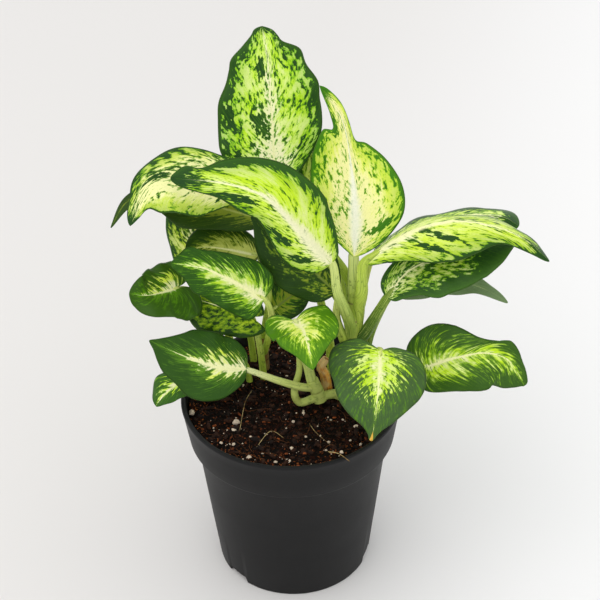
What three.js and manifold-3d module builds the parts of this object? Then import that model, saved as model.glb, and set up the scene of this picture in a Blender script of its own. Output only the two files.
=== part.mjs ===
// A young potted dieffenbachia: a round nursery pot filled with soil, a main cane, a side shoot
// and a front shoot, and twenty-two broad leaves, each a blade with its own stalk.
// Millimetres, +Z up. The origin is the middle of the pot's underside; +Y points to the back.
import * as THREE from 'three';
import { mergeVertices } from 'three/addons/utils/BufferGeometryUtils.js';
import Module from 'manifold-3d';

const wasm = await Module();
wasm.setup();

// ---- Driving dimensions -------------------------------------------------------------------

const CLEARANCE = 0.3; // between pieces that touch on the real plant

// pot
const POT_HEIGHT = 120;
const RIM_RADIUS = 65;
const RIM_LIP = 3;
const COLLAR_HEIGHT = 26.5;
const COLLAR_FOOT_RADIUS = 60.8;
const WALL_TOP_RADIUS = 57;
const FOOT_RADIUS = 47;
const WALL = 2;
const FLOOR_RISE = 4.5; // the floor between the middle pad and the foot ring stands this far up
const PAD_RADIUS = 22; // the flat pad in the middle of the floor, which the pot stands on too
const FOOT_RING = 5; // width of the ring that the pot stands on
const NOTCH_COUNT = 3; // drainage notches through the foot ring
const NOTCH_WIDTH = 15;
const FIRST_NOTCH = 102; // degrees from +X towards +Y
const RIM_EASE = 0.4; // the rim's edges are eased by this much
const COLLAR_STEP = 0.6; // rise of the ledge under the collar
const POT_SIDES = 40;

// soil
const SOIL_LEVEL = 113;
const LUMP = 0.7; // height of the lumps in the soil's surface
const SOIL_RINGS = 5; // rings of facets in the soil's surface
const PERLITE_COUNT = 24;
const GRAIN_RADIUS = [1.4, 2.4]; // smallest and largest perlite grain
const GRAIN_ROOM = 7; // kept free of grains round each stem's middle line
const GOLDEN_ANGLE = Math.PI * (3 - Math.sqrt(5)); // spreads the grains evenly
const STEM_DEPTH = 8; // how deep the stems stand in the soil

// leaves
const BLADE_THICKNESS = 0.8;
const KEEL = 1.1; // how far the midrib stands out of the underside at the leaf's base
const HALF_COLUMNS = 3; // grid steps from its midrib to each margin
const BACK_SWEEP = 1.3; // how the side veins curve forward
const LOBE_END = 0.4; // share of the margin that a base lobe takes
const LEFT_WAVE_SHIFT = 1.7; // the left margin's waves run ahead of the right one's, in radians
const STALK_REACH = 0.14; // share of the midrib that the stalk runs under
const CANE_STEPS = 2; // lengthwise steps of a cane for each point of its axis
const STALK_SIDES = 6;
const STALK_STEPS = 7;

// colours
const GREEN = 0x4f8a2a;
const PALE = 0xb9c96f;
const SOIL_BROWN = 0x2a1a12;
const POT_BLACK = 0x1c1c1e;

// Each cane or shoot: the points of its axis and its radius at both ends.
const STEMS = {
  stem_main: {
    axis: [[36, 12, SOIL_LEVEL - STEM_DEPTH], [36.2, 13, 140], [37.4, 15, 175], [38.2, 16, 187]],
    radius: [5.2, 4],
    sides: 12,
    color: PALE,
  },
  stem_side: {
    axis: [[-16, 32, SOIL_LEVEL - STEM_DEPTH], [-16, 32, 125], [-15, 32, 148]],
    radius: [3.4, 2.2],
    sides: 10,
    color: 0x7d6a3c,
  },
  stem_front: {
    axis: [[33, 3, SOIL_LEVEL - STEM_DEPTH], [27, 4, 115], [15, -1, 117], [5, -5, 117], [2, -2, 123],
      [5, 6, 132], [5, 9, 144], [6, 11, 156]],
    radius: [3.2, 1.2],
    sides: 8,
    color: 0x8f9a3c,
    sheath: { axis: [[17, 0, 114], [15, 0, 122], [12, 0, 131]], radius: [4.4, 3.4] },
  },
  dried_sheath: {
    axis: [[21, 9, SOIL_LEVEL - STEM_DEPTH], [21, 8, 118], [20, 7, 128], [18, 7, 134], [21, 8, 139]],
    radius: [3.6, 1.2],
    sides: 8,
    color: 0xb0762a,
  },
};

// Each leaf: the points of its midrib from base to tip, its half widths from base to tip on the
// left and right of a viewer who looks at the upper face with the tip up, where that face looks,
// the points of its stalk from its root to just short of the blade, and the stem that it roots in.
// A half width may be a pair: the width, and how far that point of the margin lies towards the tip.
const LEAF_DEFAULTS = {
  fold: [10, 10], // degrees that each half rises from the midrib
  curl: [-20, -20], // degrees that each half bends on its way to the margin
  wave: [1.2, 3, 0], // the margin's ripple: height, number of waves and phase
  lobe: 0, // how far the base reaches back past the stalk
  radius: [2.4, 1.7], // of the stalk, at its root and under the blade
  stem: null, // null where the stalk roots in the soil
  rows: 12, // grid steps from the base of the blade to its tip
};
const LEAVES = {
  leaf_a: {
    midrib: [[-7, 48, 230], [-7, 62, 249], [-8, 73, 271], [-9, 82, 293], [-12, 90, 311]],
    left: [9, 16, 21.5, 27, 30.5, 31.2, 30.8, 29.6, 25.2, 22.6, 20.4, 13, 7.2, 4.5],
    right: [6, 9.5, 13.6, 18.3, 23.2, 27.6, 28.6, 27.8, 27.2, 21.2, 18.6, [10, -1.5], [7.7, -2.5],
      [5.2, -1.8]],
    face: [0, -0.9, 0.42], fold: [8, 8], curl: [-15, -15], wave: [1.8, 3.5, 0.5], rows: 15,
    stalk: [[36, 17.5, 171], [31, 28, 188]], radius: [2.6, 1.9], stem: 'stem_main',
  },
  leaf_b: {
    midrib: [[24, 8, 206], [7, 3, 230], [-10, 1, 253], [-31, 2, 262], [-61, 6, 264]],
    left: [9, 13, 17.5, 17, 13.8, 12, 12.6, 8.4, 6.6, 4.8, 2.5],
    right: [6, 10, 15, 20, 23.5, 21.6, 17.8, 13, 6.8, 7.2, 3], face: [-0.25, -0.75, 0.6],
    stalk: [[35, 11.5, 158], [31.5, 6, 175], [27, 4, 190]], radius: [2.8, 2.2], stem: 'stem_main',
  },
  leaf_c: {
    midrib: [[37, 20, 202], [38, 34, 227], [36, 46, 250], [31, 52, 273], [19, 54, 292]],
    left: [2.5, 8.5, 16.5, 21.8, 24, 23.3, 19.6, 12.4, [6.7, -12], [5, -12], [2.4, -6]],
    right: [6, 13.5, 21.5, 28, 27.4, 20.5, [10.5, -2], [4.3, -11], [3.3, -11], [3.9, -7], [2.6, -2.5]],
    face: [0, -0.85, 0.5], stalk: [[37.8, 16.2, 181]], radius: [3.1, 3], stem: 'stem_main',
  },
  leaf_d: {
    midrib: [[-14, 36, 236], [-36, 34, 245], [-57, 28, 251], [-74, 18, 251], [-85, 8, 233]],
    left: [3.5, 7, 11.5, 17.3, 22.8, 25.6, 26.2, 24.2, [16, -1.5], [7, -7], [3, -4]],
    right: [4, 8.5, 12.5, 15.4, 18, 20.2, 15.8, 11.2, 6.8, 5.4, 2.6],
    face: [-0.25, -0.5, 0.85], wave: [0.7, 3, 0],
    stalk: [[34.5, 15.5, 163], [22, 20, 186], [7, 28, 212]], radius: [2.4, 1.8], stem: 'stem_main',
  },
  leaf_e: {
    midrib: [[-11, 38, 215], [-38, 38, 225], [-68, 36, 235], [-87, 30, 236], [-98, 22, 223]],
    left: [8, 14.5, 18, 7.5, 2], right: [9, 15, 14, 5, 1.8], face: [-0.2, -0.4, 0.9],
    stalk: [[25, 24, SOIL_LEVEL - STEM_DEPTH], [22, 30, 145], [9, 40, 190]], radius: [2.6, 1.7],
  },
  leaf_f: {
    midrib: [[-40, 45, 163], [-52, 50, 188], [-59, 52, 212], [-61, 50, 230]],
    left: [10, 17, 17, 12, 5], right: [10, 17, 17, 12, 5], face: [-0.3, -0.8, 0.45],
    stalk: [[-22, 39, SOIL_LEVEL - STEM_DEPTH], [-26, 42, 140]], radius: [2, 1.5],
  },
  leaf_g: {
    midrib: [[-17, 24, 201], [-31, 24, 205], [-46, 22, 209], [-57, 18, 209]],
    left: [8, 14, 15, 11, 5], right: [8, 14, 15, 12, 6], face: [-0.1, -0.6, 0.8],
    stalk: [[-16.5, 31, 138], [-14.5, 25, 153], [-11.5, 23.5, 178]], radius: [1.7, 1.3], stem: 'stem_side',
  },
  leaf_h: {
    midrib: [[-14, 4, 185.5], [-29.5, 0, 200], [-46, -4, 212.5], [-63, -8, 219]],
    left: [8.5, 13.8, 15.8, 16.2, 16, 15.4, 14.7, 14, 8.6, 4.6, 2.2],
    right: [8, 12, 14.8, 16.5, 15.2, 13.4, 11.4, 9.6, 10.2, 5.6, 2.2], face: [-0.2, -0.7, 0.65],
    lobe: 3,
    stalk: [[-16, 31, 126], [-12.5, 17, 149], [-10.5, 8.5, 172]], radius: [1.9, 1.5], stem: 'stem_side',
  },
  leaf_i: {
    midrib: [[-64, 24, 180], [-72.5, 18, 181], [-81, 12, 183.5], [-90, 10, 186.5]],
    left: [[3, -5], [13, -5], [21, -3], 22, 18.5, 15.8, 14.2, 10.5, 7.5, 5.4, 2.6],
    right: [[3, -5], [11, -6], [18, -4], 18.5, 17, 15, 13.6, 12, 10, 6.5, 3],
    face: [-0.4, -0.6, 0.65], lobe: 6,
    stalk: [[-27, 36, SOIL_LEVEL - STEM_DEPTH], [-42, 40, 145], [-56, 36, 168]], radius: [2, 1.4],
  },
  leaf_j: {
    midrib: [[-22, 19.5, 161.5], [-33, 22, 165], [-46, 25, 168], [-58, 28, 170.5]],
    left: [[5, -6], [14, -3], 16, 17, 11], right: [[5, -2], 15, 17, 12, 5], face: [-0.2, -0.75, 0.6],
    lobe: 7, stalk: [[-16, 24, SOIL_LEVEL - STEM_DEPTH], [-18, 21, 138]], radius: [2, 1.6],
  },
  leaf_k: {
    midrib: [[-25, -4, 141.5], [-41, -8, 146.5], [-61, -10, 157.5], [-78.5, -10, 168.5]],
    left: [5, 9.2, 13.6, 18.6, 21.2, 20.6, 16.8, 13.6, 8.6, 3.8, 1.5],
    right: [[9, -1], 15.5, 18.6, 19.6, 19.4, 18.6, 16.4, 11, 6.3, 2.9, 1], face: [-0.15, -0.6, 0.78],
    stalk: [[12, -1, 124.5], [5, -4, 128], [-8, -5, 134]], radius: [2.2, 1.6], stem: 'stem_front',
  },
  leaf_l: {
    midrib: [[-44, 10, 138], [-59, 4, 132], [-72, -2, 124], [-79, -6, 117]],
    left: [6, 10, 12, 9, 4], right: [6, 10, 12, 14, 8], face: [-0.5, -0.4, 0.75],
    stalk: [[-24, 20, SOIL_LEVEL - STEM_DEPTH], [-28, 18, 130]], radius: [1.8, 1.3],
  },
  leaf_m: {
    midrib: [[3.5, -4, 175.5], [8, -14, 176], [10, -25, 174], [12.5, -36, 166]],
    left: [6.5, 12.5, 18, 20.6, 19.6, 17, 13.2, 8.8, 5.2, 2.8, 1],
    right: [[5, -5], [10, -7], [15.5, -6], [18.4, -5], [17.6, -3], 16, 12.4, 8.2, 5, 2.8, 1],
    face: [0.05, -0.5, 0.87], lobe: 8,
    stalk: [[12, 0, 129], [10, 0, 140], [7, -2, 155]], radius: [2.7, 1.8], stem: 'stem_front',
  },
  leaf_n: {
    midrib: [[51, -14, 161], [49, -32, 153], [46.5, -48, 143], [44, -54, 129.5]],
    left: [[6, 3], [13, 5], [19.5, 3], 25, 26, 23.2, 17.8, 11.4, 5.4, 2.4, 1],
    right: [9, 16, 25.5, 29, 26, 23.7, 20.4, 14.6, 6.5, 2.6, 1.5], face: [0, -0.6, 0.8], lobe: 10,
    stalk: [[38, -2, SOIL_LEVEL - STEM_DEPTH], [42, -2, 130], [48, -7, 153]], radius: [2.6, 2],
  },
  leaf_o: {
    midrib: [[78, 0, 137], [94, -4, 147], [110.5, -7, 152.5], [124, -10, 149], [133.5, -14, 133.5]],
    left: [[7.5, -4], [15, -2.5], 20.5, 22.7, 16.3, 8.8, 8.2, [10.3, -4.5], [6.7, -4], [5.4, -3.5], 3],
    right: [6, 11.5, 15.3, 18.3, 21.2, 22, 20.5, [18, 1], [13, 2.5], [7, 1], 2], face: [0.1, -0.65, 0.75],
    lobe: 10,
    stalk: [[46, 8, SOIL_LEVEL - STEM_DEPTH], [50, 7, 125], [62, 4, 135]], radius: [2.4, 1.8],
  },
  leaf_p: {
    midrib: [[42, 10, 205], [64, 8, 224], [86, 6, 233], [109, 2, 233], [128, -2, 226], [142, -6, 214]],
    left: [10, 20, 22, 14, 5], right: [3.5, 6.5, 11, 16.5, 21.8, 21.8, 15.8, 8, 5.6, 3.2, 1.4],
    face: [-0.05, -0.35, 0.93], fold: [-40, -35],
    stalk: [[39, 13.5, 166], [41, 8.6, 186]], radius: [3.4, 2.9], stem: 'stem_main',
  },
  leaf_q: {
    midrib: [[49, 34, 194], [75, 36, 210.5], [101, 36, 217], [120, 32, 219], [130, 28, 215]],
    left: [8, 12, 16, 18, 18.5, 18, 15.5, 13.5, 15, 11.5, 6], right: [10, 13, 13, 11, 7],
    face: [0, -0.3, 0.95], fold: [-30, -30],
    stalk: [[38, 17, 156], [43, 27, 178]], radius: [2.4, 1.9], stem: 'stem_main',
  },
  leaf_r: {
    midrib: [[55, 8, 182], [68, 14, 196], [91, 18, 205], [110, 18, 210], [126, 14, 212]],
    left: [8, 10, 11, 8, 4], right: [5.5, 8.8, 13.7, 18.8, 23.6, 23.3, 22.6, 21, 18, 12, 4],
    face: [0, -0.5, 0.85],
    stalk: [[37, 12, 144], [44, 11, 156]], radius: [3, 2.5], stem: 'stem_main',
  },
  leaf_s: {
    midrib: [[61, 26, 173], [81, 28, 178], [101, 26, 178], [115, 20, 176], [125, 14, 172]],
    left: [8, 11, 10, 5, 2], right: [8, 10, 9, 5, 2], face: [0, -0.4, 0.9],
    stalk: [[44, 18, SOIL_LEVEL - STEM_DEPTH], [46, 20, 140], [54, 24, 162]], radius: [2.4, 1.6],
  },
  leaf_t: {
    midrib: [[27, 12, 183], [10, 18, 199], [-7, 21, 215], [-20, 23, 228]],
    left: [12.3, 18.4, 20.5, 13, 3], right: [8, 16, 20, 15, 6], face: [-0.3, -0.75, 0.55],
    stalk: [[33, 13, 142], [27, 11, 165]], radius: [2.4, 1.8], stem: 'stem_main',
  },
  leaf_u: {
    midrib: [[-9, 26, 162], [-1, 28.5, 167.5], [6.5, 31, 172], [13, 33, 175.5]],
    left: [8, 13, 13, 9, 4], right: [7, 11, 11, 8, 4], face: [-0.1, -0.8, 0.5], lobe: 3,
    stalk: [[-14.5, 33, 134], [-9.5, 32, 147]], radius: [1.6, 1.3], stem: 'stem_side',
  },
  leaf_v: {
    midrib: [[24, 48, 195], [20, 58, 213], [16, 66, 232], [15, 72, 248]],
    left: [8, 13, 13, 9, 4], right: [8, 13, 13, 9, 4], face: [-0.1, -0.85, 0.5],
    stalk: [[35.5, 16.5, 146], [33, 31, 172]], radius: [2.4, 1.7], stem: 'stem_main',
  },
};

// ---- Solids -------------------------------------------------------------------------------

const vector = ([x, y, z]) => new THREE.Vector3(x, y, z);
const radians = THREE.MathUtils.degToRad;

/** Turn a closed three.js geometry into a solid. */
function solid(geometry) {
  const bare = geometry.clone();
  for (const name of Object.keys(bare.attributes)) {
    if (name !== 'position') {
      bare.deleteAttribute(name);
    }
  }
  const merged = mergeVertices(bare, 1e-4);
  return new wasm.Manifold(new wasm.Mesh({
    numProp: 3,
    vertProperties: new Float32Array(merged.attributes.position.array),
    triVerts: new Uint32Array(merged.index.array),
  }));
}

/** Turn a solid back into a three.js geometry. */
function geometryOf(body) {
  const mesh = body.getMesh();
  const geometry = new THREE.BufferGeometry();
  geometry.setAttribute('position', new THREE.BufferAttribute(Float32Array.from(mesh.vertProperties), 3));
  geometry.setIndex(Array.from(mesh.triVerts));
  return geometry;
}

/** Join solids that grow together. */
function joined(bodies) {
  return bodies.reduce((whole, body) => whole.add(body));
}

/** The points with the first one moved back by a distance, away from the second. */
function lengthened(points, distance) {
  const back = points[0].clone().sub(points[1]).normalize();
  points[0].addScaledVector(back, distance);
  return points;
}

/** A closed tube of round sections along a curve, with its radius running from one end to the other. */
function taperedTube(points, radiusAt, sides, steps) {
  const curve = new THREE.CatmullRomCurve3(points, false, 'catmullrom', 0.5);
  const frames = curve.computeFrenetFrames(steps, false);
  const positions = [];
  const triangles = [];
  for (let i = 0; i <= steps; i++) {
    const center = curve.getPointAt(i / steps);
    const radius = radiusAt(i / steps);
    for (let j = 0; j < sides; j++) {
      const angle = (2 * Math.PI * j) / sides;
      const across = frames.normals[i].clone().multiplyScalar(Math.cos(angle) * radius);
      const along = frames.binormals[i].clone().multiplyScalar(Math.sin(angle) * radius);
      positions.push(...center.clone().add(across).add(along).toArray());
    }
  }
  for (let i = 0; i < steps; i++) {
    for (let j = 0; j < sides; j++) {
      const next = (j + 1) % sides;
      const [a, b] = [i * sides + j, i * sides + next];
      const [c, d] = [a + sides, b + sides];
      triangles.push(a, b, d, a, d, c);
    }
  }
  const last = steps * sides;
  for (let j = 1; j < sides - 1; j++) {
    triangles.push(0, j + 1, j);
    triangles.push(last, last + j, last + j + 1);
  }
  const geometry = new THREE.BufferGeometry();
  geometry.setAttribute('position', new THREE.Float32BufferAttribute(positions, 3));
  geometry.setIndex(triangles);
  return solid(geometry);
}

// ---- Leaf blades --------------------------------------------------------------------------

/** An entry in a list of half widths as its width and its shift towards the tip. */
function widthAndShift(entry) {
  return Array.isArray(entry) ? entry : [entry, 0];
}

/** A blade's half width and that point's shift towards the tip, at a share of the way round its margin. */
function marginAt(widths, share) {
  const pairs = [0, ...widths, 0].map(widthAndShift);
  const knots = pairs.map(([width, shift]) => new THREE.Vector3(width, shift, 0));
  const point = new THREE.CatmullRomCurve3(knots, false, 'catmullrom', 0.5).getPoint(share);
  return [Math.max(point.x, 0), point.y];
}

/** The largest half width of a blade. */
function widestOf(leaf) {
  return Math.max(...[...leaf.left, ...leaf.right].map((entry) => widthAndShift(entry)[0]));
}

/** A point of the blade's middle surface: share runs from base to tip, side from -1 (left) to 1. */
function bladePoint(leaf, curve, share, side) {
  const length = curve.getLength();
  const widest = widestOf(leaf);
  const [halfWidth, shift] = marginAt(side < 0 ? leaf.left : leaf.right, share);
  const sweep = share < LOBE_END ? Math.sin((Math.PI * share) / LOBE_END) : 0;
  const marginAlong = (length * (1 - Math.cos(Math.PI * share))) / 2 + shift - leaf.lobe * sweep;
  const ribAlong = length * (0.3 * share + 0.7 * share * share);
  const reach = Math.abs(side);
  const along = ribAlong + (marginAlong - ribAlong) * reach ** BACK_SWEEP;
  const across = halfWidth * reach;

  const clipped = Math.min(Math.max(along, 0), length);
  const place = clipped / length;
  const forward = curve.getTangentAt(place);
  const up = vector(leaf.face).normalize();
  const sideways = forward.clone().cross(up).normalize();
  up.crossVectors(sideways, forward);

  const index = side < 0 ? 0 : 1;
  const fold = radians(leaf.fold[index]) * (1 - 0.3 * place);
  const bend = radians(leaf.curl[index]) / widest;
  const flat = Math.sin(bend * across) / bend;
  const rise = (1 - Math.cos(bend * across)) / bend;
  const [height, count, phase] = leaf.wave;
  const turn = (2 * Math.PI * count * along) / length + phase + (side < 0 ? LEFT_WAVE_SHIFT : 0);
  const ripple = height * Math.sin(turn) * reach ** 2 * Math.min(across / widest, 1);

  const out = (flat * Math.cos(fold) - rise * Math.sin(fold)) * Math.sign(side);
  const lift = flat * Math.sin(fold) + rise * Math.cos(fold) + ripple;
  return curve.getPointAt(place)
    .addScaledVector(forward, along - clipped)
    .addScaledVector(sideways, out)
    .addScaledVector(up, lift);
}

/** A blade of even thickness with a keel along its midrib, closed round its margin. */
function blade(leaf, curve) {
  const columns = 2 * HALF_COLUMNS;
  const rows = leaf.rows;
  const grid = [];
  for (let i = 0; i <= rows; i++) {
    grid.push([]);
    for (let j = 0; j <= columns; j++) {
      grid[i].push(bladePoint(leaf, curve, i / rows, j / HALF_COLUMNS - 1));
    }
  }
  const positions = [];
  const faceIndex = (i, j, under) => 2 + 2 * ((i - 1) * (columns + 1) + j) + (under ? 1 : 0);
  positions.push(...grid[0][0].toArray(), ...grid[rows][0].toArray());
  for (let i = 1; i < rows; i++) {
    for (let j = 0; j <= columns; j++) {
      const forward = grid[i + 1][j].clone().sub(grid[i - 1][j]);
      const sideways = grid[i][Math.min(j + 1, columns)].clone().sub(grid[i][Math.max(j - 1, 0)]);
      const normal = sideways.cross(forward).normalize();
      const keel = j === HALF_COLUMNS ? KEEL * (1 - i / rows) : 0;
      positions.push(...grid[i][j].clone().addScaledVector(normal, BLADE_THICKNESS / 2).toArray());
      positions.push(...grid[i][j].clone().addScaledVector(normal, -BLADE_THICKNESS / 2 - keel).toArray());
    }
  }
  const triangles = [];
  const both = (a, b, c, corner) => {
    triangles.push(...[a, b, c].map((at) => corner(at, false)));
    triangles.push(...[a, c, b].map((at) => corner(at, true)));
  };
  const corner = ([i, j], under) => (i === 0 ? 0 : i === rows ? 1 : faceIndex(i, j, under));
  for (let i = 0; i < rows; i++) {
    for (let j = 0; j < columns; j++) {
      const [a, b, c, d] = [[i, j], [i, j + 1], [i + 1, j + 1], [i + 1, j]];
      if (i > 0) {
        both(a, b, c, corner);
      }
      if (i < rows - 1) {
        both(a, c, d, corner);
      }
    }
    for (const [j, flip] of [[0, false], [columns, true]]) {
      const [top, under] = [corner([i, j], false), corner([i, j], true)];
      const [nextTop, nextUnder] = [corner([i + 1, j], false), corner([i + 1, j], true)];
      const rim = [[top, nextTop, nextUnder], [top, nextUnder, under]];
      for (const [a, b, c] of rim) {
        if (a !== b && b !== c && a !== c) {
          triangles.push(...(flip ? [a, c, b] : [a, b, c]));
        }
      }
    }
  }
  const geometry = new THREE.BufferGeometry();
  geometry.setAttribute('position', new THREE.Float32BufferAttribute(positions, 3));
  geometry.setIndex(triangles);
  return solid(geometry);
}

/** The stalk's centre points, running on under the midrib so that stalk and blade grow together. */
function stalkPath(leaf, curve) {
  const up = vector(leaf.face).normalize();
  const under = (place, drop) => curve.getPointAt(place).addScaledVector(up, -drop);
  return [...leaf.stalk.map(vector), under(0, leaf.radius[1] * 0.5), under(STALK_REACH, BLADE_THICKNESS)];
}

/** A leaf's stalk, pointed where it ends under the blade, or the room for it if spare is given. */
function stalk(leaf, curve, spare = 0) {
  const [root, neck] = leaf.radius;
  const points = lengthened(stalkPath(leaf, curve), spare);
  const pointed = (share) => 1 - 0.6 * Math.max(share - 0.9, 0) * 10;
  const radiusAt = (share) => spare + (root + (neck - root) * share) * pointed(share);
  return taperedTube(points, radiusAt, STALK_SIDES, STALK_STEPS);
}

/** A cane or shoot with its sheath, or the room that it needs in the soil if spare is given. */
function cane(stem, spare = 0) {
  const tubes = [stem, ...(stem.sheath ? [stem.sheath] : [])].map(({ axis, radius }) => {
    const [foot, top] = radius;
    const radiusAt = (share) => spare + foot + (top - foot) * share;
    return taperedTube(lengthened(axis.map(vector), spare), radiusAt, stem.sides, CANE_STEPS * axis.length);
  });
  return joined(tubes);
}

// ---- Pot and soil -------------------------------------------------------------------------

/** The pot: stepped wall with a collar under its rim, a raised floor and a notched foot ring. */
function pot() {
  const collarFoot = POT_HEIGHT - COLLAR_HEIGHT;
  const mouth = RIM_RADIUS - RIM_LIP;
  const profile = [
    [0, 0], [PAD_RADIUS, 0], [PAD_RADIUS + 2, FLOOR_RISE], [FOOT_RADIUS - FOOT_RING, FLOOR_RISE],
    [FOOT_RADIUS - FOOT_RING, 0], [FOOT_RADIUS, 0], [WALL_TOP_RADIUS, collarFoot],
    [COLLAR_FOOT_RADIUS, collarFoot + COLLAR_STEP], [RIM_RADIUS - RIM_EASE, POT_HEIGHT - 1],
    [RIM_RADIUS - 1.5 * RIM_EASE, POT_HEIGHT], [mouth, POT_HEIGHT], [mouth - RIM_EASE, POT_HEIGHT - 1],
    [COLLAR_FOOT_RADIUS - WALL, collarFoot + WALL], [WALL_TOP_RADIUS - WALL, collarFoot - 1],
    [FOOT_RADIUS - WALL + 0.6, FLOOR_RISE + WALL], [0, FLOOR_RISE + WALL],
  ];
  const turned = new THREE.LatheGeometry(profile.map(([r, z]) => new THREE.Vector2(r, z)), POT_SIDES);
  turned.rotateX(Math.PI / 2);
  const notch = new THREE.BoxGeometry(3 * FOOT_RING, NOTCH_WIDTH, FLOOR_RISE + 1);
  notch.translate(FOOT_RADIUS, 0, (FLOOR_RISE - 1) / 2 - CLEARANCE);
  let body = solid(turned);
  for (let i = 0; i < NOTCH_COUNT; i++) {
    const cutter = notch.clone().rotateZ(radians(FIRST_NOTCH) + (2 * Math.PI * i) / NOTCH_COUNT);
    body = body.subtract(solid(cutter));
  }
  return body;
}

/** Height of the soil's lumpy surface above its level. */
function lumpAt(x, y) {
  const ripple = Math.sin(x * 0.19 + 1) * Math.cos(y * 0.23) + 0.6 * Math.sin(x * 0.41 - y * 0.37);
  return LUMP * ripple;
}

/** A perlite grain half sunk in the soil's surface. */
function grain(index, x, y) {
  const [smallest, largest] = GRAIN_RADIUS;
  const size = smallest + ((largest - smallest) * ((index * 7) % 5)) / 4;
  const shape = new THREE.OctahedronGeometry(size, 0);
  shape.scale(1, 1.2, 0.8);
  shape.rotateZ(index);
  shape.translate(x, y, SOIL_LEVEL + lumpAt(x, y) + 0.2);
  return solid(shape);
}

/** Soil that fills the pot, with perlite grains and a hole for each stem that roots in it. */
function soil(holes, roots) {
  const collarFoot = POT_HEIGHT - COLLAR_HEIGHT;
  const mouth = RIM_RADIUS - RIM_LIP - RIM_EASE;
  const slope = (mouth - COLLAR_FOOT_RADIUS + WALL) / (COLLAR_HEIGHT - WALL - 1);
  const topRadius = mouth - slope * (POT_HEIGHT - 1 - SOIL_LEVEL) - CLEARANCE;
  const underside = FLOOR_RISE + WALL + CLEARANCE;
  const slack = CLEARANCE + 0.1; // the slanted walls need a little more than a level one
  const profile = [
    [0, underside], [FOOT_RADIUS - WALL + 0.5 - slack, underside],
    [WALL_TOP_RADIUS - WALL - slack, collarFoot - 1], [COLLAR_FOOT_RADIUS - WALL - slack, collarFoot + WALL],
    [topRadius - 0.1, SOIL_LEVEL],
  ];
  for (let i = SOIL_RINGS - 1; i >= 0; i--) {
    profile.push([(topRadius * i) / SOIL_RINGS, SOIL_LEVEL]);
  }
  const turned = new THREE.LatheGeometry(profile.map(([r, z]) => new THREE.Vector2(r, z)), POT_SIDES);
  turned.rotateX(Math.PI / 2);
  const position = turned.attributes.position;
  for (let i = 0; i < position.count; i++) {
    const [x, y, z] = [position.getX(i), position.getY(i), position.getZ(i)];
    if (z > SOIL_LEVEL - 0.01 && Math.hypot(x, y) < topRadius - 1) {
      position.setZ(i, z + lumpAt(x, y));
    }
  }
  let body = solid(turned);
  for (let i = 0; i < PERLITE_COUNT; i++) {
    const angle = i * GOLDEN_ANGLE;
    const radius = (topRadius - 5) * Math.sqrt((i + 0.5) / PERLITE_COUNT);
    const [x, y] = [radius * Math.cos(angle), radius * Math.sin(angle)];
    if (roots.every((root) => Math.hypot(x - root[0], y - root[1]) > GRAIN_ROOM)) {
      body = body.add(grain(i, x, y));
    }
  }
  for (const hole of holes) {
    body = body.subtract(hole);
  }
  return body;
}

// ---- The plant ----------------------------------------------------------------------------

const plant = new THREE.Group();

function addPiece(name, body, color, roughness) {
  const material = new THREE.MeshStandardMaterial({ color, roughness, metalness: 0 });
  const mesh = new THREE.Mesh(geometryOf(body), material);
  mesh.name = name;
  plant.add(mesh);
}

const sockets = Object.fromEntries(Object.keys(STEMS).map((name) => [name, []]));
const soilHoles = [];
const soilRoots = [];
for (const [name, shape] of Object.entries(LEAVES)) {
  const leaf = { ...LEAF_DEFAULTS, ...shape };
  const curve = new THREE.CatmullRomCurve3(leaf.midrib.map(vector), false, 'catmullrom', 0.5);
  addPiece(name, joined([stalk(leaf, curve), blade(leaf, curve)]), GREEN, 0.4);
  const room = stalk(leaf, curve, CLEARANCE);
  if (leaf.stem) {
    sockets[leaf.stem].push(room);
  } else {
    soilHoles.push(room);
    soilRoots.push(leaf.stalk[0]);
  }
}
for (const [name, stem] of Object.entries(STEMS)) {
  const body = sockets[name].reduce((left, socket) => left.subtract(socket), cane(stem));
  addPiece(name, body, stem.color, 0.6);
  soilHoles.push(cane(stem, CLEARANCE));
  soilRoots.push(stem.axis[0], ...(stem.sheath ? [stem.sheath.axis[0]] : []));
}
addPiece('soil', soil(soilHoles, soilRoots), SOIL_BROWN, 1);
addPiece('pot', pot(), POT_BLACK, 0.45);

export default plant;
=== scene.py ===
"""A young potted dieffenbachia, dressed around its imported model.

A black nursery pot holds dark potting soil with perlite, a main cane, a side cane, a looping front
shoot with a dried sheath beside it, and twenty-two broad mottled leaves. The tables hold millimetres,
as a grower would measure them, and every mesh is made in metres. +Y points to the back of the plant.
"""

import logging
import math
from bisect import bisect_right
from dataclasses import dataclass, field
from enum import Enum
from random import Random
from typing import Callable, Dict, List, Optional, Sequence, Tuple, Union

import bmesh
import bpy
from mathutils import Matrix, Vector, noise


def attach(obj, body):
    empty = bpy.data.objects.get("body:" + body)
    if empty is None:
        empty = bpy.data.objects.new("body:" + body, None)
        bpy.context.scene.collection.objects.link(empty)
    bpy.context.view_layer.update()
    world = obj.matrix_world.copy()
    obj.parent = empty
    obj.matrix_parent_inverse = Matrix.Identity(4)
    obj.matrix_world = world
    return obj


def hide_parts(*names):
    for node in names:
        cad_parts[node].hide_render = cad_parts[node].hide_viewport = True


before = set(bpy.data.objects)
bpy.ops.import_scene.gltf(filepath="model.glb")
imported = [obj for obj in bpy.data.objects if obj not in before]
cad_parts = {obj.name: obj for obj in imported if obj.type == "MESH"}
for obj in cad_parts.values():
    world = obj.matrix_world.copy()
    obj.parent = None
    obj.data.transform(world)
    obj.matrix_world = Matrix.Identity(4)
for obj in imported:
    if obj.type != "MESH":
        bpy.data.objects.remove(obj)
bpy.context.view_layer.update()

log = logging.getLogger("potted_dieffenbachia")

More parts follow.
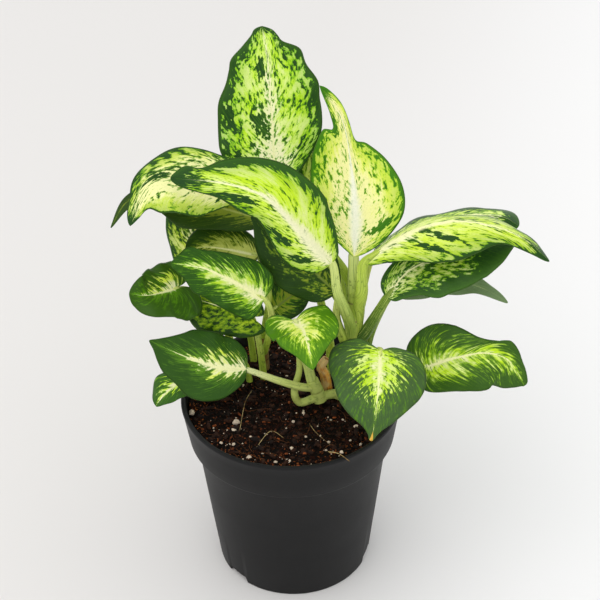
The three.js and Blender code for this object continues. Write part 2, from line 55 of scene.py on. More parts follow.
MM = 0.001  # the tables' unit, in metres
FULL_TURN = 2 * math.pi
FINE_SEAM, SEAM, WIDE_SEAM = 1e-7, 1e-6, 2e-6  # metres: vertices that lie nearer than this are joined
UV_MAP = "blade"  # every piece's UV map: across or around, and along

Point = Tuple[float, float, float]
Colour = Tuple[float, float, float]
Pair = Tuple[float, float]
Halves = Union[float, Pair]  # one value for both halves of a leaf, or the left half's and the right half's
HalfWidth = Union[float, Pair]  # a width, or a width and a shift towards the tip
Mesh = bmesh.types.BMesh


class Slot(Enum):
    """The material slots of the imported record."""

    POT = "pot"
    SOIL = "soil"
    CANE = "cane"
    DRIED_SHEATH = "dried_sheath"
    LEAF = "leaf"


def seen(red: int, green: int, blue: int) -> Colour:
    """Turn a colour as a screen shows it, each share from 0 to 255, into linear light from 0 to 1."""
    shares = (part / 255 for part in (red, green, blue))
    return tuple(part / 12.92 if part < 0.04045 else ((part + 0.055) / 1.055) ** 2.4 for part in shares)


# ---- Colours as they look on the real plant ----

MARGIN_GREEN = seen(58, 100, 26)
FLECK_GREEN = seen(36, 72, 26)
DEEP_GREEN = seen(62, 108, 14)
FRESH_GREEN = seen(98, 152, 16)
BRIGHT_GREEN = seen(112, 176, 20)
LIME = seen(204, 238, 40)
YELLOW_LIME = seen(228, 244, 84)
CREAM = seen(250, 246, 196)
RIB_CREAM = seen(248, 246, 184)
# painted highlight: a thin pale line where light catches the leaves' margins
EDGE_HIGHLIGHT_GREEN = seen(128, 156, 92)
DULL_UNDERSIDE = seen(96, 132, 74)
STALK_GREEN = seen(174, 198, 66)
STALK_CREAM = seen(216, 226, 124)
DARK_STALK = seen(88, 116, 46)
CANE_GREEN = seen(164, 182, 76)
CANE_SCAR = seen(112, 104, 62)
OLIVE = seen(146, 160, 44)
DRY_ORANGE = seen(240, 172, 62)
DRY_BROWN = seen(170, 98, 30)
TIP_YELLOW = seen(226, 178, 72)
TIP_BROWN = seen(120, 84, 40)
POT_BLACK = seen(8, 8, 9)
POT_DUST = seen(26, 25, 24)
PEAT = seen(11, 5, 2)
PEAT_RED = seen(50, 20, 8)
COIR_ORANGE = seen(166, 92, 40)
PERLITE_CREAM = seen(226, 206, 180)
STRAW = seen(222, 198, 136)
FLOOR_PALE = seen(227, 223, 219)
# painted light: the floor's tone at the right and front, brighter to cancel the key light's shadow there
FLOOR_PAINTED_LIGHT = seen(245, 243, 241)


# ---- Shader maths ----


def _maths(operation: str, swapped: bool = False) -> Callable[..., "Wire"]:
    """Make a method of Wire that adds a Math node.

    Args:
        operation: The node's operation.
        swapped: Whether the wire's own value comes last.

    Returns:
        The method.
    """

    def method(self: "Wire", *others: "Value") -> "Wire":
        """Add the Math node."""
        values = [*others, self] if swapped else [self, *others]
        return self.network.node("ShaderNodeMath", {"operation": operation}, values)

    return method


class Wire:
    """A value in a material, with arithmetic that adds Math nodes."""

    __add__ = __radd__ = _maths("ADD")
    __mul__ = __rmul__ = _maths("MULTIPLY")
    __sub__ = _maths("SUBTRACT")
    __rsub__ = _maths("SUBTRACT", swapped=True)
    __truediv__ = _maths("DIVIDE")
    __pow__ = _maths("POWER")
    __abs__ = _maths("ABSOLUTE")
    above = _maths("GREATER_THAN")  # 1 where the value is above a level, and 0 elsewhere
    at_least = _maths("MAXIMUM")
    at_most = _maths("MINIMUM")
    cosine = _maths("COSINE")

    def __init__(self, network: "Network", socket: bpy.types.NodeSocket) -> None:
        """Hold the socket that gives the value."""
        self.network = network
        self.socket = socket

    def eased(self, low: "Value", high: "Value") -> "Wire":
        """Rise smoothly from 0 to 1, or fall where low is the higher.

        Args:
            low: The value where it is 0.
            high: The value where it is 1.

        Returns:
            The eased value.
        """
        settings = {"interpolation_type": "SMOOTHSTEP"}
        inputs = {"Value": self, "From Min": low, "From Max": high}
        return self.network.node("ShaderNodeMapRange", settings, inputs)


Value = Union[Wire, float]
Tint = Union[Wire, Colour]


class Network:
    """The nodes of one material."""

    def __init__(self, name: str) -> None:
        """Start a material with a bare surface shader.

        Args:
            name: The material's name.
        """
        self.material = bpy.data.materials.new(name)
        self.material.use_nodes = True
        self.tree = self.material.node_tree
        self.shader = self.tree.nodes["Principled BSDF"]

    def node(
        self,
        kind: str,
        settings: Optional[dict] = None,
        inputs: Union[Sequence, Dict, None] = None,
        output: Union[int, str] = 0,
    ) -> Wire:
        """Add a node.

        Args:
            kind: The node's type.
            settings: Its settings, which are set first.
            inputs: Values or wires, by the place or name of their socket.
            output: The place or name of the output that is wanted.

        Returns:
            That output.
        """
        made = self.tree.nodes.new(kind)
        for key, value in (settings or {}).items():
            setattr(made, key, value)
        for key, value in inputs.items() if isinstance(inputs, dict) else enumerate(inputs or ()):
            self.feed(made.inputs[key], value)
        return Wire(self, made.outputs[output])

    def feed(self, socket: bpy.types.NodeSocket, value: Union[Value, Colour]) -> None:
        """Link a wire to an input socket, or set the socket's own value.

        Args:
            socket: The input socket.
            value: The wire, number or colour.
        """
        if isinstance(value, Wire):
            self.tree.links.new(value.socket, socket)
        else:
            socket.default_value = (*value, 1) if socket.type == "RGBA" else value

    def blend(self, factor: Value, first: Tint, second: Tint, mode: str = "MIX") -> Wire:
        """Mix two colours: the first where the factor is 0, the second where it is 1."""
        settings = {"data_type": "RGBA", "blend_type": mode, "clamp_factor": True}
        return self.node("ShaderNodeMix", settings, {0: factor, 6: first, 7: second}, 2)

    def tinted(self, factor: Value, colour: Wire, tint: Tint) -> Wire:
        """Multiply a colour by a tint, as far as the factor says."""
        return self.blend(factor, colour, tint, "MULTIPLY")

    def vector(self, x: Value, y: Value, z: Value = 0.0) -> Wire:
        """Join three values into a vector."""
        return self.node("ShaderNodeCombineXYZ", None, [x, y, z])

    def parts(self, vector: Wire) -> List[Wire]:
        """Split a vector into its three values."""
        outputs = self.node("ShaderNodeSeparateXYZ", None, [vector]).socket.node.outputs
        return [Wire(self, output) for output in outputs]

    def uv(self) -> List[Wire]:
        """Read both coordinates of the UV map."""
        return self.parts(self.node("ShaderNodeUVMap", {"uv_map": UV_MAP}))[:2]

    def place(self) -> Wire:
        """Read the place on the object, in metres."""
        return self.node("ShaderNodeTexCoord", output="Object")

    def cloud(self, vector: Wire, scale: float, detail: float = 3.0, roughness: float = 0.55) -> Wire:
        """Add a soft random pattern round one half."""
        inputs = {"Vector": vector, "Scale": scale, "Detail": detail, "Roughness": roughness}
        return self.node("ShaderNodeTexNoise", None, inputs)

    def cells(self, vector: Wire, scale: float) -> Wire:
        """Add cells, each with a random value."""
        inputs = {"Vector": vector, "Scale": scale}
        return self.parts(self.node("ShaderNodeTexVoronoi", None, inputs, "Color"))[0]

    def bumped(self, height: Wire, depth: float, strength: float = 1.0) -> None:
        """Let a height shade the surface, as relief of so many millimetres."""
        inputs = {"Height": height, "Distance": depth * MM, "Strength": strength}
        self.feed(self.shader.inputs["Normal"], self.node("ShaderNodeBump", None, inputs))

    def finish(self, colour: Wire, roughness: Value, specular: float = 0.5) -> bpy.types.Material:
        """Feed the surface shader.

        Args:
            colour: The base colour.
            roughness: From 0 for glossy to 1 for matte.
            specular: How strongly the skin reflects.

        Returns:
            The finished material.
        """
        inputs = {"Base Color": colour, "Roughness": roughness, "Specular IOR Level": specular}
        for name, value in inputs.items():
            self.feed(self.shader.inputs[name], value)
        return self.material


# ---- Lines and grids ----


def rounded(knots: Sequence[Vector], share: float) -> Vector:
    """A point on the smooth line through knots.

    Args:
        knots: The points that the line passes.
        share: From 0 at the first knot to 1 at the last.

    Returns:
        The point.
    """
    spans = len(knots) - 1
    place = min(max(share, 0.0), 1.0) * spans
    index = min(int(place), spans - 1)
    part = place - index
    start, end = knots[index], knots[index + 1]
    before = knots[index - 1] if index > 0 else 2 * start - end
    after = knots[index + 2] if index + 2 <= spans else 2 * end - start
    lean_in, lean_out = (end - before) / 2, (after - start) / 2
    square, cube = part**2, part**3
    return (
        start
        + lean_in * part
        + (3 * (end - start) - 2 * lean_in - lean_out) * square
        + (2 * (start - end) + lean_in + lean_out) * cube
    )


class Line:
    """A smooth line through points, read by its length."""

    STEPS = 160

    def __init__(self, points: Sequence[Vector]) -> None:
        """Walk the line once and keep its places and lengths.

        Args:
            points: The points that the line passes, in metres.
        """
        self.places = [rounded(points, i / self.STEPS) for i in range(self.STEPS + 1)]
        self.walked = [0.0]
        for first, second in zip(self.places, self.places[1:]):
            self.walked.append(self.walked[-1] + (second - first).length)
        self.length = self.walked[-1]

    def at(self, share: float) -> Tuple[Vector, Vector]:
        """A point of the line and the line's direction there.

        Args:
            share: From 0 at the line's start to 1 at its end.

        Returns:
            The point and the direction.
        """
        goal = min(max(share, 0.0), 1.0) * self.length
        index = min(max(bisect_right(self.walked, goal) - 1, 0), self.STEPS - 1)
        step = self.walked[index + 1] - self.walked[index]
        part = (goal - self.walked[index]) / step
        place = self.places[index].lerp(self.places[index + 1], part)
        before = self.places[max(index - 1, 0)]
        after = self.places[min(index + 2, self.STEPS)]
        return place, (after - before).normalized()


def vectors(points: Sequence[Point]) -> List[Vector]:
    """Turn a table's points into vectors in metres."""
    return [Vector(point) * MM for point in points]


Placer = Callable[[float, float], Vector]


def blank() -> Mesh:
    """Start an empty mesh with its UV map.

    Returns:
        The mesh.
    """
    mesh = bmesh.new()
    mesh.loops.layers.uv.new(UV_MAP)
    return mesh


def laid_grid(mesh: Mesh, columns: int, rows: int, place: Placer, shift: float = 0.0) -> List:
    """Add a grid and move each of its vertices to its place.

    Args:
        mesh: The mesh that takes the grid.
        columns: Faces across.
        rows: Faces along.
        place: Gives the place of a vertex from its shares across and along, each from 0 to 1.
        shift: Added to the U coordinate, to tell this grid's faces from another's.

    Returns:
        The new faces.
    """
    layer = mesh.loops.layers.uv.verify()
    made = bmesh.ops.create_grid(mesh, x_segments=columns, y_segments=rows, size=1.0)
    faces = list({face for vertex in made["verts"] for face in vertex.link_faces})
    for face in faces:
        face.smooth = True
        for loop in face.loops:
            across, along = (loop.vert.co.x + 1) / 2, (loop.vert.co.y + 1) / 2
            loop[layer].uv = (across + shift, along)
    for vertex in made["verts"]:
        vertex.co = place((vertex.co.x + 1) / 2, (vertex.co.y + 1) / 2)
    return faces


def tube(
    mesh: Mesh,
    line: Line,
    radius: Callable[[float, float], float],
    up: Union[Point, Vector],
    sides: int,
    steps: int,
) -> List:
    """Add a closed tube round a line.

    Args:
        mesh: The mesh that takes the tube.
        line: The middle of the tube.
        radius: Gives the radius in mm from the angle, from -pi to pi, and the share along the tube.
        up: The direction that angle 0 looks to, as far as the line allows.
        sides: Faces round the tube.
        steps: Faces along it.

    Returns:
        The new faces.
    """

    def place(around: float, along: float) -> Vector:
        """A point of the tube's skin.

        Args:
            around: From 0 to 1 round the tube.
            along: From 0 at its start to 1 at its end.

        Returns:
            The point.
        """
        middle, ahead = line.at(along)
        side = ahead.cross(Vector(up)).normalized()
        top = side.cross(ahead)
        angle = (around - 0.5) * FULL_TURN
        reach = radius(angle, along) * MM if 0 < along < 1 else 0.0
        return middle + (top * math.cos(angle) + side * math.sin(angle)) * reach

    return laid_grid(mesh, sides, steps, place)


def closed(mesh: Mesh, gap: float = SEAM) -> None:
    """Close a mesh's seams and poles and point its faces outwards.

    Args:
        mesh: The mesh.
        gap: Vertices that lie nearer than this are joined, in metres.
    """
    bmesh.ops.remove_doubles(mesh, verts=mesh.verts, dist=gap)
    bmesh.ops.dissolve_degenerate(mesh, edges=mesh.edges, dist=gap)
    bmesh.ops.recalc_face_normals(mesh, faces=mesh.faces)


def added(name: str, mesh: Mesh, materials: Sequence[bpy.types.Material]) -> bpy.types.Object:
    """Turn a finished mesh into an object of the scene.

    Args:
        name: The object's name.
        mesh: The mesh, which is used up.
        materials: Its materials, in the order of the faces' material numbers.

    Returns:
        The new object.
    """
    data = bpy.data.meshes.new(name)
    mesh.to_mesh(data)
    mesh.free()
    for material in materials:
        data.materials.append(material)
    made = bpy.data.objects.new(name, data)
    bpy.context.scene.collection.objects.link(made)
    return made


def piece(
    name: str, mesh: Mesh, slot: Slot, materials: Sequence[bpy.types.Material], replaced: Sequence[str] = ()
) -> bpy.types.Object:
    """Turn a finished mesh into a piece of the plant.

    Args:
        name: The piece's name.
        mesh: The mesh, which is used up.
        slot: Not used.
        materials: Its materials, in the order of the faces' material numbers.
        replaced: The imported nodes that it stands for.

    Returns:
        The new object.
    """
    made = added(name, mesh, materials)
    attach(made, "root")
    if replaced:
        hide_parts(*replaced)
    log.info("%s: %d faces", name, len(made.data.polygons))
    return made


# ---- Finishes ----


@dataclass(frozen=True)
class LeafFinish:
    """How one leaf is mottled.

    A mottled leaf is pale with dark flecks, and a starred one dark with a pale core whose spikes run
    out along the side veins. A place across the blade is a share of its half width: 0 at the midrib
    and 1 at the margin. Pairs hold the left half's value and the right half's.
    """

    dark: Colour = MARGIN_GREEN
    speck: Colour = FLECK_GREEN  # flecks inside a mottled leaf
    middle: Colour = FRESH_GREEN  # between dark and pale
    pale: Colour = LIME
    heart: Colour = CREAM  # along the midrib and at the base
    margin: Halves = 1.18  # where the dark margin would be solid
    broken: float = 0.6  # width of the zone inside it where it breaks up into flecks
    density: Halves = 0.6  # flecks in the pale area, from 0 for none to 1
    halo: float = 0.2  # how far mid green spreads round the dark tissue
    fleck: Pair = (3.2, 2.6)  # size in mm across and along the side veins
    blotch: float = 0.9  # how much the flecks gather in blotches
    slant: float = 0.45  # how far the side veins run towards the tip
    core: float = 0.0  # reach of a starred leaf's pale core at the base
    spikes: Halves = 0.0  # how much further its spikes reach
    spike_gap: float = 2.2  # between the spikes, in mm
    spike_end: float = 0.85  # share of the length where they have died out
    pepper: float = 0.7  # how much flecks break up the star
    inner_light: float = 0.3  # how much lighter the dark tissue is towards the midrib
    heart_reach: float = 0.2
    base_heart: float = 0.4  # how much further the heart spreads at the base
    tip: Pair = (0.9, 1.04)  # share of the length where the tip starts and is all dark
    marks: Sequence[Tuple[float, float, float, float]] = ()  # large blotches: share, side and both sizes
    rib: Colour = RIB_CREAM
    rib_width: float = 1.1  # half width of the midrib at the base, in mm
    burnt_tip: bool = False
    seed: float = 0.0

    def material(self, name: str, length: float, width: float) -> bpy.types.Material:
        """Build the leaf's material.

        Args:
            name: The material's name.
            length: The blade's length, in mm.
            width: Its largest half width, in mm.

        Returns:
            The material.
        """
        net = Network(name)
        across, share = net.uv()
        under = across.above(1.5)
        side = (across - under * 2) * 2 - 1
        out = abs(side)
        right = side.above(0.0)
        seed = right * 3 + self.seed
        vein = share - out**1.3 * (1 - share) * self.slant  # constant along a side vein

        def halves(pair: Halves) -> Value:
            """The left half's value on the left and the right half's on the right.

            Args:
                pair: One value for both halves, or the left half's and the right half's.

            Returns:
                The value of the half that is shaded.
            """
            return right * (pair[1] - pair[0]) + pair[0] if isinstance(pair, tuple) else pair

        fine, long = self.fleck
        steep = share - out * (1 - share) * (self.slant * 0.35)  # flecks lie across more than the veins do
        small = net.vector(steep * (length / fine), side * (width / long), seed)
        fleck = net.cloud(small, 1.0, 3.0, 0.6) - 0.5
        coarse = net.vector(steep * (length / 10), side * (width / 12), seed + 9)
        blotch = net.cloud(coarse, 1.0, 2.0, 0.5) - 0.5
        drawn = net.vector(vein * (length / 1.2), side * (width / 11), seed + 30)
        wisp = net.cloud(drawn, 1.0, 3.0, 0.6) - 0.5

        edge = ((out - halves(self.margin)) / self.broken + 1).at_least(0.0) ** 2.5
        edge = edge + out.eased(0.93, 0.98) * 0.5
        end = (share + out * 0.04).eased(*self.tip)
        if self.core:
            row = net.vector(vein * (length / self.spike_gap), side * 1.5, self.seed + 50)
            spike = net.cloud(row, 1.0, 3.0, 0.7).eased(0.4, 0.7)
            fade = 1 - share.eased(self.spike_end * 0.4, self.spike_end)
            reach = (1 - share.eased(0.0, self.spike_end) * 0.8) * self.core
            reach = reach + spike * fade * halves(self.spikes)
            field = (out - reach) * 1.6 + fleck * self.pepper + blotch * 0.3
        else:
            open_tissue = (1 - halves(self.density)) * 0.55
            field = fleck * 2 + blotch * self.blotch + wisp * 0.12 - open_tissue + edge + end * 0.9
        for mark_share, mark_side, long_share, wide_side in self.marks:
            far = ((steep - mark_share) / long_share) ** 2.0 + ((side - mark_side) / wide_side) ** 2.0
            field = field + (far - fleck * 4).eased(1.6, 0.3) * 0.5
        dark = field.eased(-0.02, 0.03)
        middle = field.eased(-self.halo - 0.08, -0.01)

        spread = self.heart_reach + (1 - share.eased(0.0, 0.6)) * self.base_heart
        heart = (spread - out + wisp * 0.5 + blotch * 0.8 - fleck * 0.4).eased(-0.16, 0.2)
        rib_share = (1.12 - share) * (self.rib_width / width)
        rib = (out + (wisp + fleck) * rib_share).eased(rib_share * 1.8, rib_share * 0.2)

        greener = out.eased(0.4, 1.0) * 0.5 + (wisp + blotch).eased(0.0, 0.3) * 0.3
        pale = net.blend((wisp * 0.5 - blotch - fleck * 0.5).eased(-0.1, 0.25) * 0.5, self.pale, self.heart)
        pale = net.blend(greener, pale, self.middle)
        colour = net.blend(heart, pale, self.heart)
        colour = net.blend(middle, colour, self.middle)
        deep = self.dark if self.core else net.blend(edge.at_most(1.0), self.speck, self.dark)
        lighter = (wisp * 1.4 + fleck * 0.6 + (0.6 - out) * self.inner_light).eased(-0.05, 0.35)
        deep = net.blend(lighter * (0.85 if self.core else 0.25), deep, self.middle)
        deep = net.tinted(field.eased(0.1, 0.45) * 0.4, deep, (0.6, 0.7, 0.8))
        colour = net.blend(dark, colour, deep)
        colour = net.blend(rib * (1 - end * 0.8), colour, self.rib)
        if self.burnt_tip:
            burnt = share + blotch * 0.03
            colour = net.blend(burnt.eased(0.93, 0.945), colour, TIP_YELLOW)
            colour = net.blend(burnt.eased(0.98, 0.995), colour, TIP_BROWN)
        grain = net.cloud(net.place(), 1100.0, 2.0)
        colour = net.tinted(grain.eased(0.62, 0.3) * 0.2, colour, (0.55, 0.62, 0.45))
        # painted highlight: a thin pale line along the margin, where light catches the edge
        colour = net.blend(out.eased(0.975, 1.0) * 0.3, colour, EDGE_HIGHLIGHT_GREEN)
        colour = net.blend(under * 0.6, colour, DULL_UNDERSIDE)

        net.bumped(wisp + grain * 0.25, 0.22, 0.5)
        return net.finish(colour, 0.38 + blotch * 0.3 + wisp * 0.2 + under * 0.2, 0.12)


@dataclass(frozen=True)
class StalkFinish:
    """The skin of a leaf stalk: streaked along its length, paler at its neck."""

    root: Colour = STALK_GREEN
    neck: Colour = STALK_CREAM
    streak: Colour = DARK_STALK
    streaks: float = 0.6

    def material(self, name: str) -> bpy.types.Material:
        """Build the stalk's material.

        Args:
            name: The material's name.

        Returns:
            The material.
        """
        net = Network(name)
        around, along = net.uv()
        x, y = (around * FULL_TURN).cosine() * 2.4, (around * FULL_TURN + 1.57).cosine() * 2.4
        turn = net.vector(x, y, along * 1.6)
        lines = net.cloud(turn, 3.0, 4.0, 0.65)
        spots = net.cloud(net.place(), 420.0, 2.0, 0.6)
        colour = net.blend(along.eased(0.3, 0.95), self.root, self.neck)
        colour = net.blend(lines.eased(0.46, 0.36) * 0.7, colour, STALK_CREAM)
        colour = net.blend(lines.eased(0.52, 0.62) * self.streaks, colour, self.streak)
        colour = net.blend(spots.eased(0.6, 0.68) * self.streaks, colour, self.streak)
        net.bumped(lines + spots * 0.3, 0.3, 0.6)
        return net.finish(colour, 0.45 + spots * 0.15, 0.2)


def pot_plastic() -> bpy.types.Material:
    """Build matte black moulded plastic with faint dust and scuffs.

    Returns:
        The material.
    """
    net = Network("matte_black_plastic")
    place = net.place()
    x, y, z = net.parts(place)
    drawn = net.cloud(net.vector(x, y, z * 0.12), 160.0, 4.0, 0.6)
    dust = net.cloud(place, 38.0, 4.0, 0.6)
    grain = net.cloud(place, 1500.0, 2.0)
    colour = net.blend(dust.eased(0.46, 0.8) * 0.3, POT_BLACK, POT_DUST)
    colour = net.blend(drawn.eased(0.55, 0.75) * 0.08, colour, POT_DUST)
    net.bumped(grain * 0.4 + drawn * 0.5, 0.12, 0.5)
    return net.finish(colour, 0.46 + dust * 0.14, 0.24)


def damp_peat() -> bpy.types.Material:
    """Build damp peat with reddish crumbs, redder towards the pot's wall.

    Returns:
        The material.
    """
    net = Network("damp_peat")
    place = net.place()
    crumb, grit = net.cells(place, 620.0), net.cells(place, 1500.0)
    patch = net.cloud(place, 70.0, 3.0)
    x, y, _ = net.parts(place)
    rim = ((x * x + y * y) ** 0.5).eased(0.042, 0.061)
    colour = net.blend(crumb.eased(0.55, 0.95) * (patch * 0.9 + rim * 0.3), PEAT, PEAT_RED)
    colour = net.blend(grit.above(0.93) * (rim * 0.8 + 0.12), colour, COIR_ORANGE)
    net.bumped(net.cloud(place, 900.0, 4.0, 0.7) + crumb * 0.5, 0.8, 0.9)
    return net.finish(colour, 0.9 - grit * 0.2, 0.1)


def crumbs(name: str, light: Colour, dark: Colour, grain: float = 500.0) -> bpy.types.Material:
    """Build the material of small loose matter.

    Args:
        name: The material's name.
        light: The palest colour.
        dark: The darkest colour.
        grain: How fine the tones and pits are.

    Returns:
        The material.
    """
    net = Network(name)
    place = net.place()
    tone = net.cloud(place, grain * 0.4, 2.0)
    pits = net.cloud(place, grain * 4, 3.0, 0.7)
    colour = net.blend(tone.eased(0.35, 0.65), dark, light)
    colour = net.blend(pits.eased(0.62, 0.75) * 0.4, colour, dark)
    net.bumped(pits, 0.2, 0.7)
    return net.finish(colour, 0.85, 0.2)


def dry_paper() -> bpy.types.Material:
    """Build a papery dried leaf sheath, with veins along it.

    Returns:
        The material.
    """
    net = Network("dried_sheath_paper")
    around, along = net.uv()
    lines = net.cloud(net.vector(around * 14, along * 1.5), 1.6, 4.0, 0.6)
    patch = net.cloud(net.place(), 160.0, 3.0)
    colour = net.blend(lines.eased(0.42, 0.62), DRY_BROWN, DRY_ORANGE)
    colour = net.blend((patch + along * 0.25).eased(0.52, 0.75) * 0.7, colour, STRAW)
    net.bumped(lines, 0.4, 0.8)
    return net.finish(colour, 0.6)


@dataclass(frozen=True)
class CaneFinish:
    """A cane's skin: flecked green with darker rings where leaves have dropped."""

    skin: Colour = CANE_GREEN
    scar: Colour = CANE_SCAR

    def material(self, name: str, rings: int) -> bpy.types.Material:
        """Build the cane's material.

        Args:
            name: The material's name.
            rings: How many rings the cane has.

        Returns:
            The material.
        """
        net = Network(name)
        around, along = net.uv()
        flecks = net.cloud(net.place(), 300.0, 4.0, 0.65)
        lines = net.cloud(net.vector((around * FULL_TURN).cosine() * 2, along * 2), 3.0, 4.0, 0.6)
        ring = (along * (FULL_TURN * rings) + flecks * 0.6).cosine().at_least(0.0) ** 14
        colour = net.blend(flecks.eased(0.52, 0.7) * 0.6, self.skin, DARK_STALK)
        colour = net.blend(lines.eased(0.5, 0.7) * 0.4, colour, STALK_CREAM)
        colour = net.blend(ring * 0.8, colour, self.scar)
        net.bumped(lines * 0.6 - ring, 0.4, 0.7)
        return net.finish(colour, 0.55, 0.2)


# ---- Leaves ----


@dataclass
class Leaf:
    """A blade and its stalk, which grew as one piece.

    The midrib runs from base to tip. The half widths run from base to tip too, on the left and right
    of a viewer who looks at the upper face with the tip up. A pair among them holds the half width and
    how far that point of the margin lies towards the tip.
    """

    name: str
    midrib: Sequence[Point]
    left: Sequence[HalfWidth]
    right: Sequence[HalfWidth]
    face: Point
    stalk: Sequence[Point]
    finish: LeafFinish
    stalk_finish: StalkFinish = StalkFinish()
    fold: Pair = (10, 10)  # degrees that each half rises from the midrib
    curl: Pair = (-20, -20)  # degrees that each half bends on the way to its margin
    wave: Point = (1.2, 3, 0)  # the margin's waves: height in mm, count and phase
    lobe: float = 0  # how far the base lobes reach back, in mm
    radius: Pair = (2.4, 1.7)  # the stalk's, at its root and its neck
    sheath: float = 0.1  # how much the stalk's lower part is widened by its sheath
    clasp: float = 0  # how far the sheath runs down the main cane, in mm
    line: Line = field(init=False)
    margins: List[List[Vector]] = field(init=False)
    widest: float = field(init=False)

    THICKNESS = 0.6  # of the blade, in mm
    KEEL = 1.1  # how far the midrib stands out of the underside at the base
    FRILL = 0.5  # height of the fine ripple at the margin
    QUILT = 0.13  # height of the bulges between the side veins
    CHANNEL = (0.45, 1.6)  # depth and half width of the midrib's channel
    ROWS = 80
    HALF_COLUMNS = 16
    BACK_SWEEP = 1.3  # how the side veins curve forward
    LOBE_END = 0.4  # share of the margin that a base lobe takes
    LEFT_WAVE_SHIFT = 1.7  # the left margin's waves run ahead by this, in radians
    STALK_REACH = 0.14  # share of the midrib that the stalk runs under
    VEIN_GAP = 7.0  # between the side veins that the surface is quilted by, in mm
    CANE_MIDDLE = (37.0, 13.5)  # where the main cane stands, in mm
    CLASP_LEAN = 0.45  # how far the sheath's lower end lies towards the cane's middle
    STALK_SIDES, STALK_STEPS = 36, 48

    def __post_init__(self) -> None:
        """Work out the midrib's line and the blade's largest half width."""
        self.line = Line(vectors(self.midrib))
        self.margins = [
            [Vector(entry if isinstance(entry, tuple) else (entry, 0)) for entry in (0, *widths, 0)]
            for widths in (self.left, self.right)
        ]
        self.widest = max(knot.x for margin in self.margins for knot in margin) * MM

    def margin(self, side: float, share: float) -> Pair:
        """The blade's half width and that point's shift, at a share of the way round its margin."""
        point = rounded(self.margins[0 if side < 0 else 1], share)
        return max(point.x, 0.0) * MM, point.y * MM

    def relief(self, along: float, share: float, side: float) -> float:
        """Lift of the surface by the midrib's channel, the side veins and the margin's fine ripple.

        Args:
            along: Distance from the blade's base, in metres.
            share: The same as a share of the midrib.
            side: From -1 at the left margin to 1 at the right one.

        Returns:
            The lift, in metres.
        """
        out = abs(side)
        hand = 1.0 if side < 0 else 0.0
        drift = noise.noise(Vector((share * 4, hand * 3.1, self.finish.seed)))
        veins = math.cos(FULL_TURN * (self.line.length / MM / self.VEIN_GAP * share + drift))
        quilt = self.QUILT * veins * math.sin(math.pi * min(out, 1.0)) * math.sin(math.pi * share)
        depth, width = self.CHANNEL
        channel = -depth * math.exp(-((out * self.widest / MM / width) ** 2)) * (1 - share)
        seed = Vector((along * 90, hand * 7.3, self.finish.seed))
        frill = self.FRILL * noise.noise(seed) * 2 * out**4 * math.sin(math.pi * share)
        return (quilt + channel + frill) * MM

    def surface(self, side: float, share: float) -> Vector:
        """A point of the blade's middle surface.

        Args:
            side: From -1 at the left margin to 1 at the right one.
            share: From 0 at the base to 1 at the tip.

        Returns:
            The point.
        """
        length = self.line.length
        sweep = math.sin(math.pi * share / self.LOBE_END) if share < self.LOBE_END else 0.0
        half_width, shift = self.margin(side, share)
        margin_along = length * (1 - math.cos(math.pi * share)) / 2 + shift - self.lobe * MM * sweep
        rib_along = length * (0.3 * share + 0.7 * share * share)
        out = abs(side)
        along = rib_along + (margin_along - rib_along) * out**self.BACK_SWEEP
        across = half_width * out

        clipped = min(max(along, 0.0), length)
        place = clipped / length
        middle, forward = self.line.at(place)
        sideways = forward.cross(Vector(self.face)).normalized()
        up = sideways.cross(forward)

        index = 0 if side < 0 else 1
        fold = math.radians(self.fold[index]) * (1 - 0.3 * place)
        bend = math.radians(self.curl[index]) / self.widest
        flat, rise = math.sin(bend * across) / bend, (1 - math.cos(bend * across)) / bend
        height, count, phase = self.wave
        turn = FULL_TURN * count * along / length + phase + (self.LEFT_WAVE_SHIFT if side < 0 else 0)
        ripple = height * MM * math.sin(turn) * out**2 * min(across / self.widest, 1)
        outwards = (flat * math.cos(fold) - rise * math.sin(fold)) * math.copysign(1, side)
        lift = flat * math.sin(fold) + rise * math.cos(fold) + ripple + self.relief(along, share, side)
        return middle + forward * (along - clipped) + sideways * outwards + up * lift

    def _blade(self, mesh: Mesh) -> None:
        """Add the blade: an upper and a lower sheet that meet at the margin.

        Args:
            mesh: The mesh that takes the blade.
        """
        columns = 2 * self.HALF_COLUMNS
        grid = [
            [self.surface(column / self.HALF_COLUMNS - 1, row / self.ROWS) for column in range(columns + 1)]
            for row in range(self.ROWS + 1)
        ]

        def sheet(lower: bool) -> Placer:
            """The places of one face of the blade.

            Args:
                lower: Whether it is the lower face.

            Returns:
                The function that gives its places.
            """

            def place(across: float, along: float) -> Vector:
                """A point of that face.

                Args:
                    across: From 0 at the left margin to 1 at the right one.
                    along: From 0 at the base to 1 at the tip.

                Returns:
                    The point.
                """
                column, row = round(across * columns), round(along * self.ROWS)
                inner_row = min(max(row, 1), self.ROWS - 1)
                ahead = grid[inner_row + 1][column] - grid[inner_row - 1][column]
                sideways = grid[inner_row][min(column + 1, columns)] - grid[inner_row][max(column - 1, 0)]
                normal = sideways.cross(ahead).normalized()
                side = across * 2 - 1
                depth = self.THICKNESS / 2 * (1 - side**6)
                if lower:
                    spread = side * self.margin(side, along)[0] / MM
                    keel = self.KEEL * (1 - along) * math.exp(-((spread / 1.2) ** 2))
                    depth = -depth - keel
                if row in (0, self.ROWS):
                    depth = 0.0
                return grid[row][column] + normal * depth * MM

            return place

        laid_grid(mesh, columns, self.ROWS, sheet(False))
        for face in laid_grid(mesh, columns, self.ROWS, sheet(True), 2.0):
            face.normal_flip()

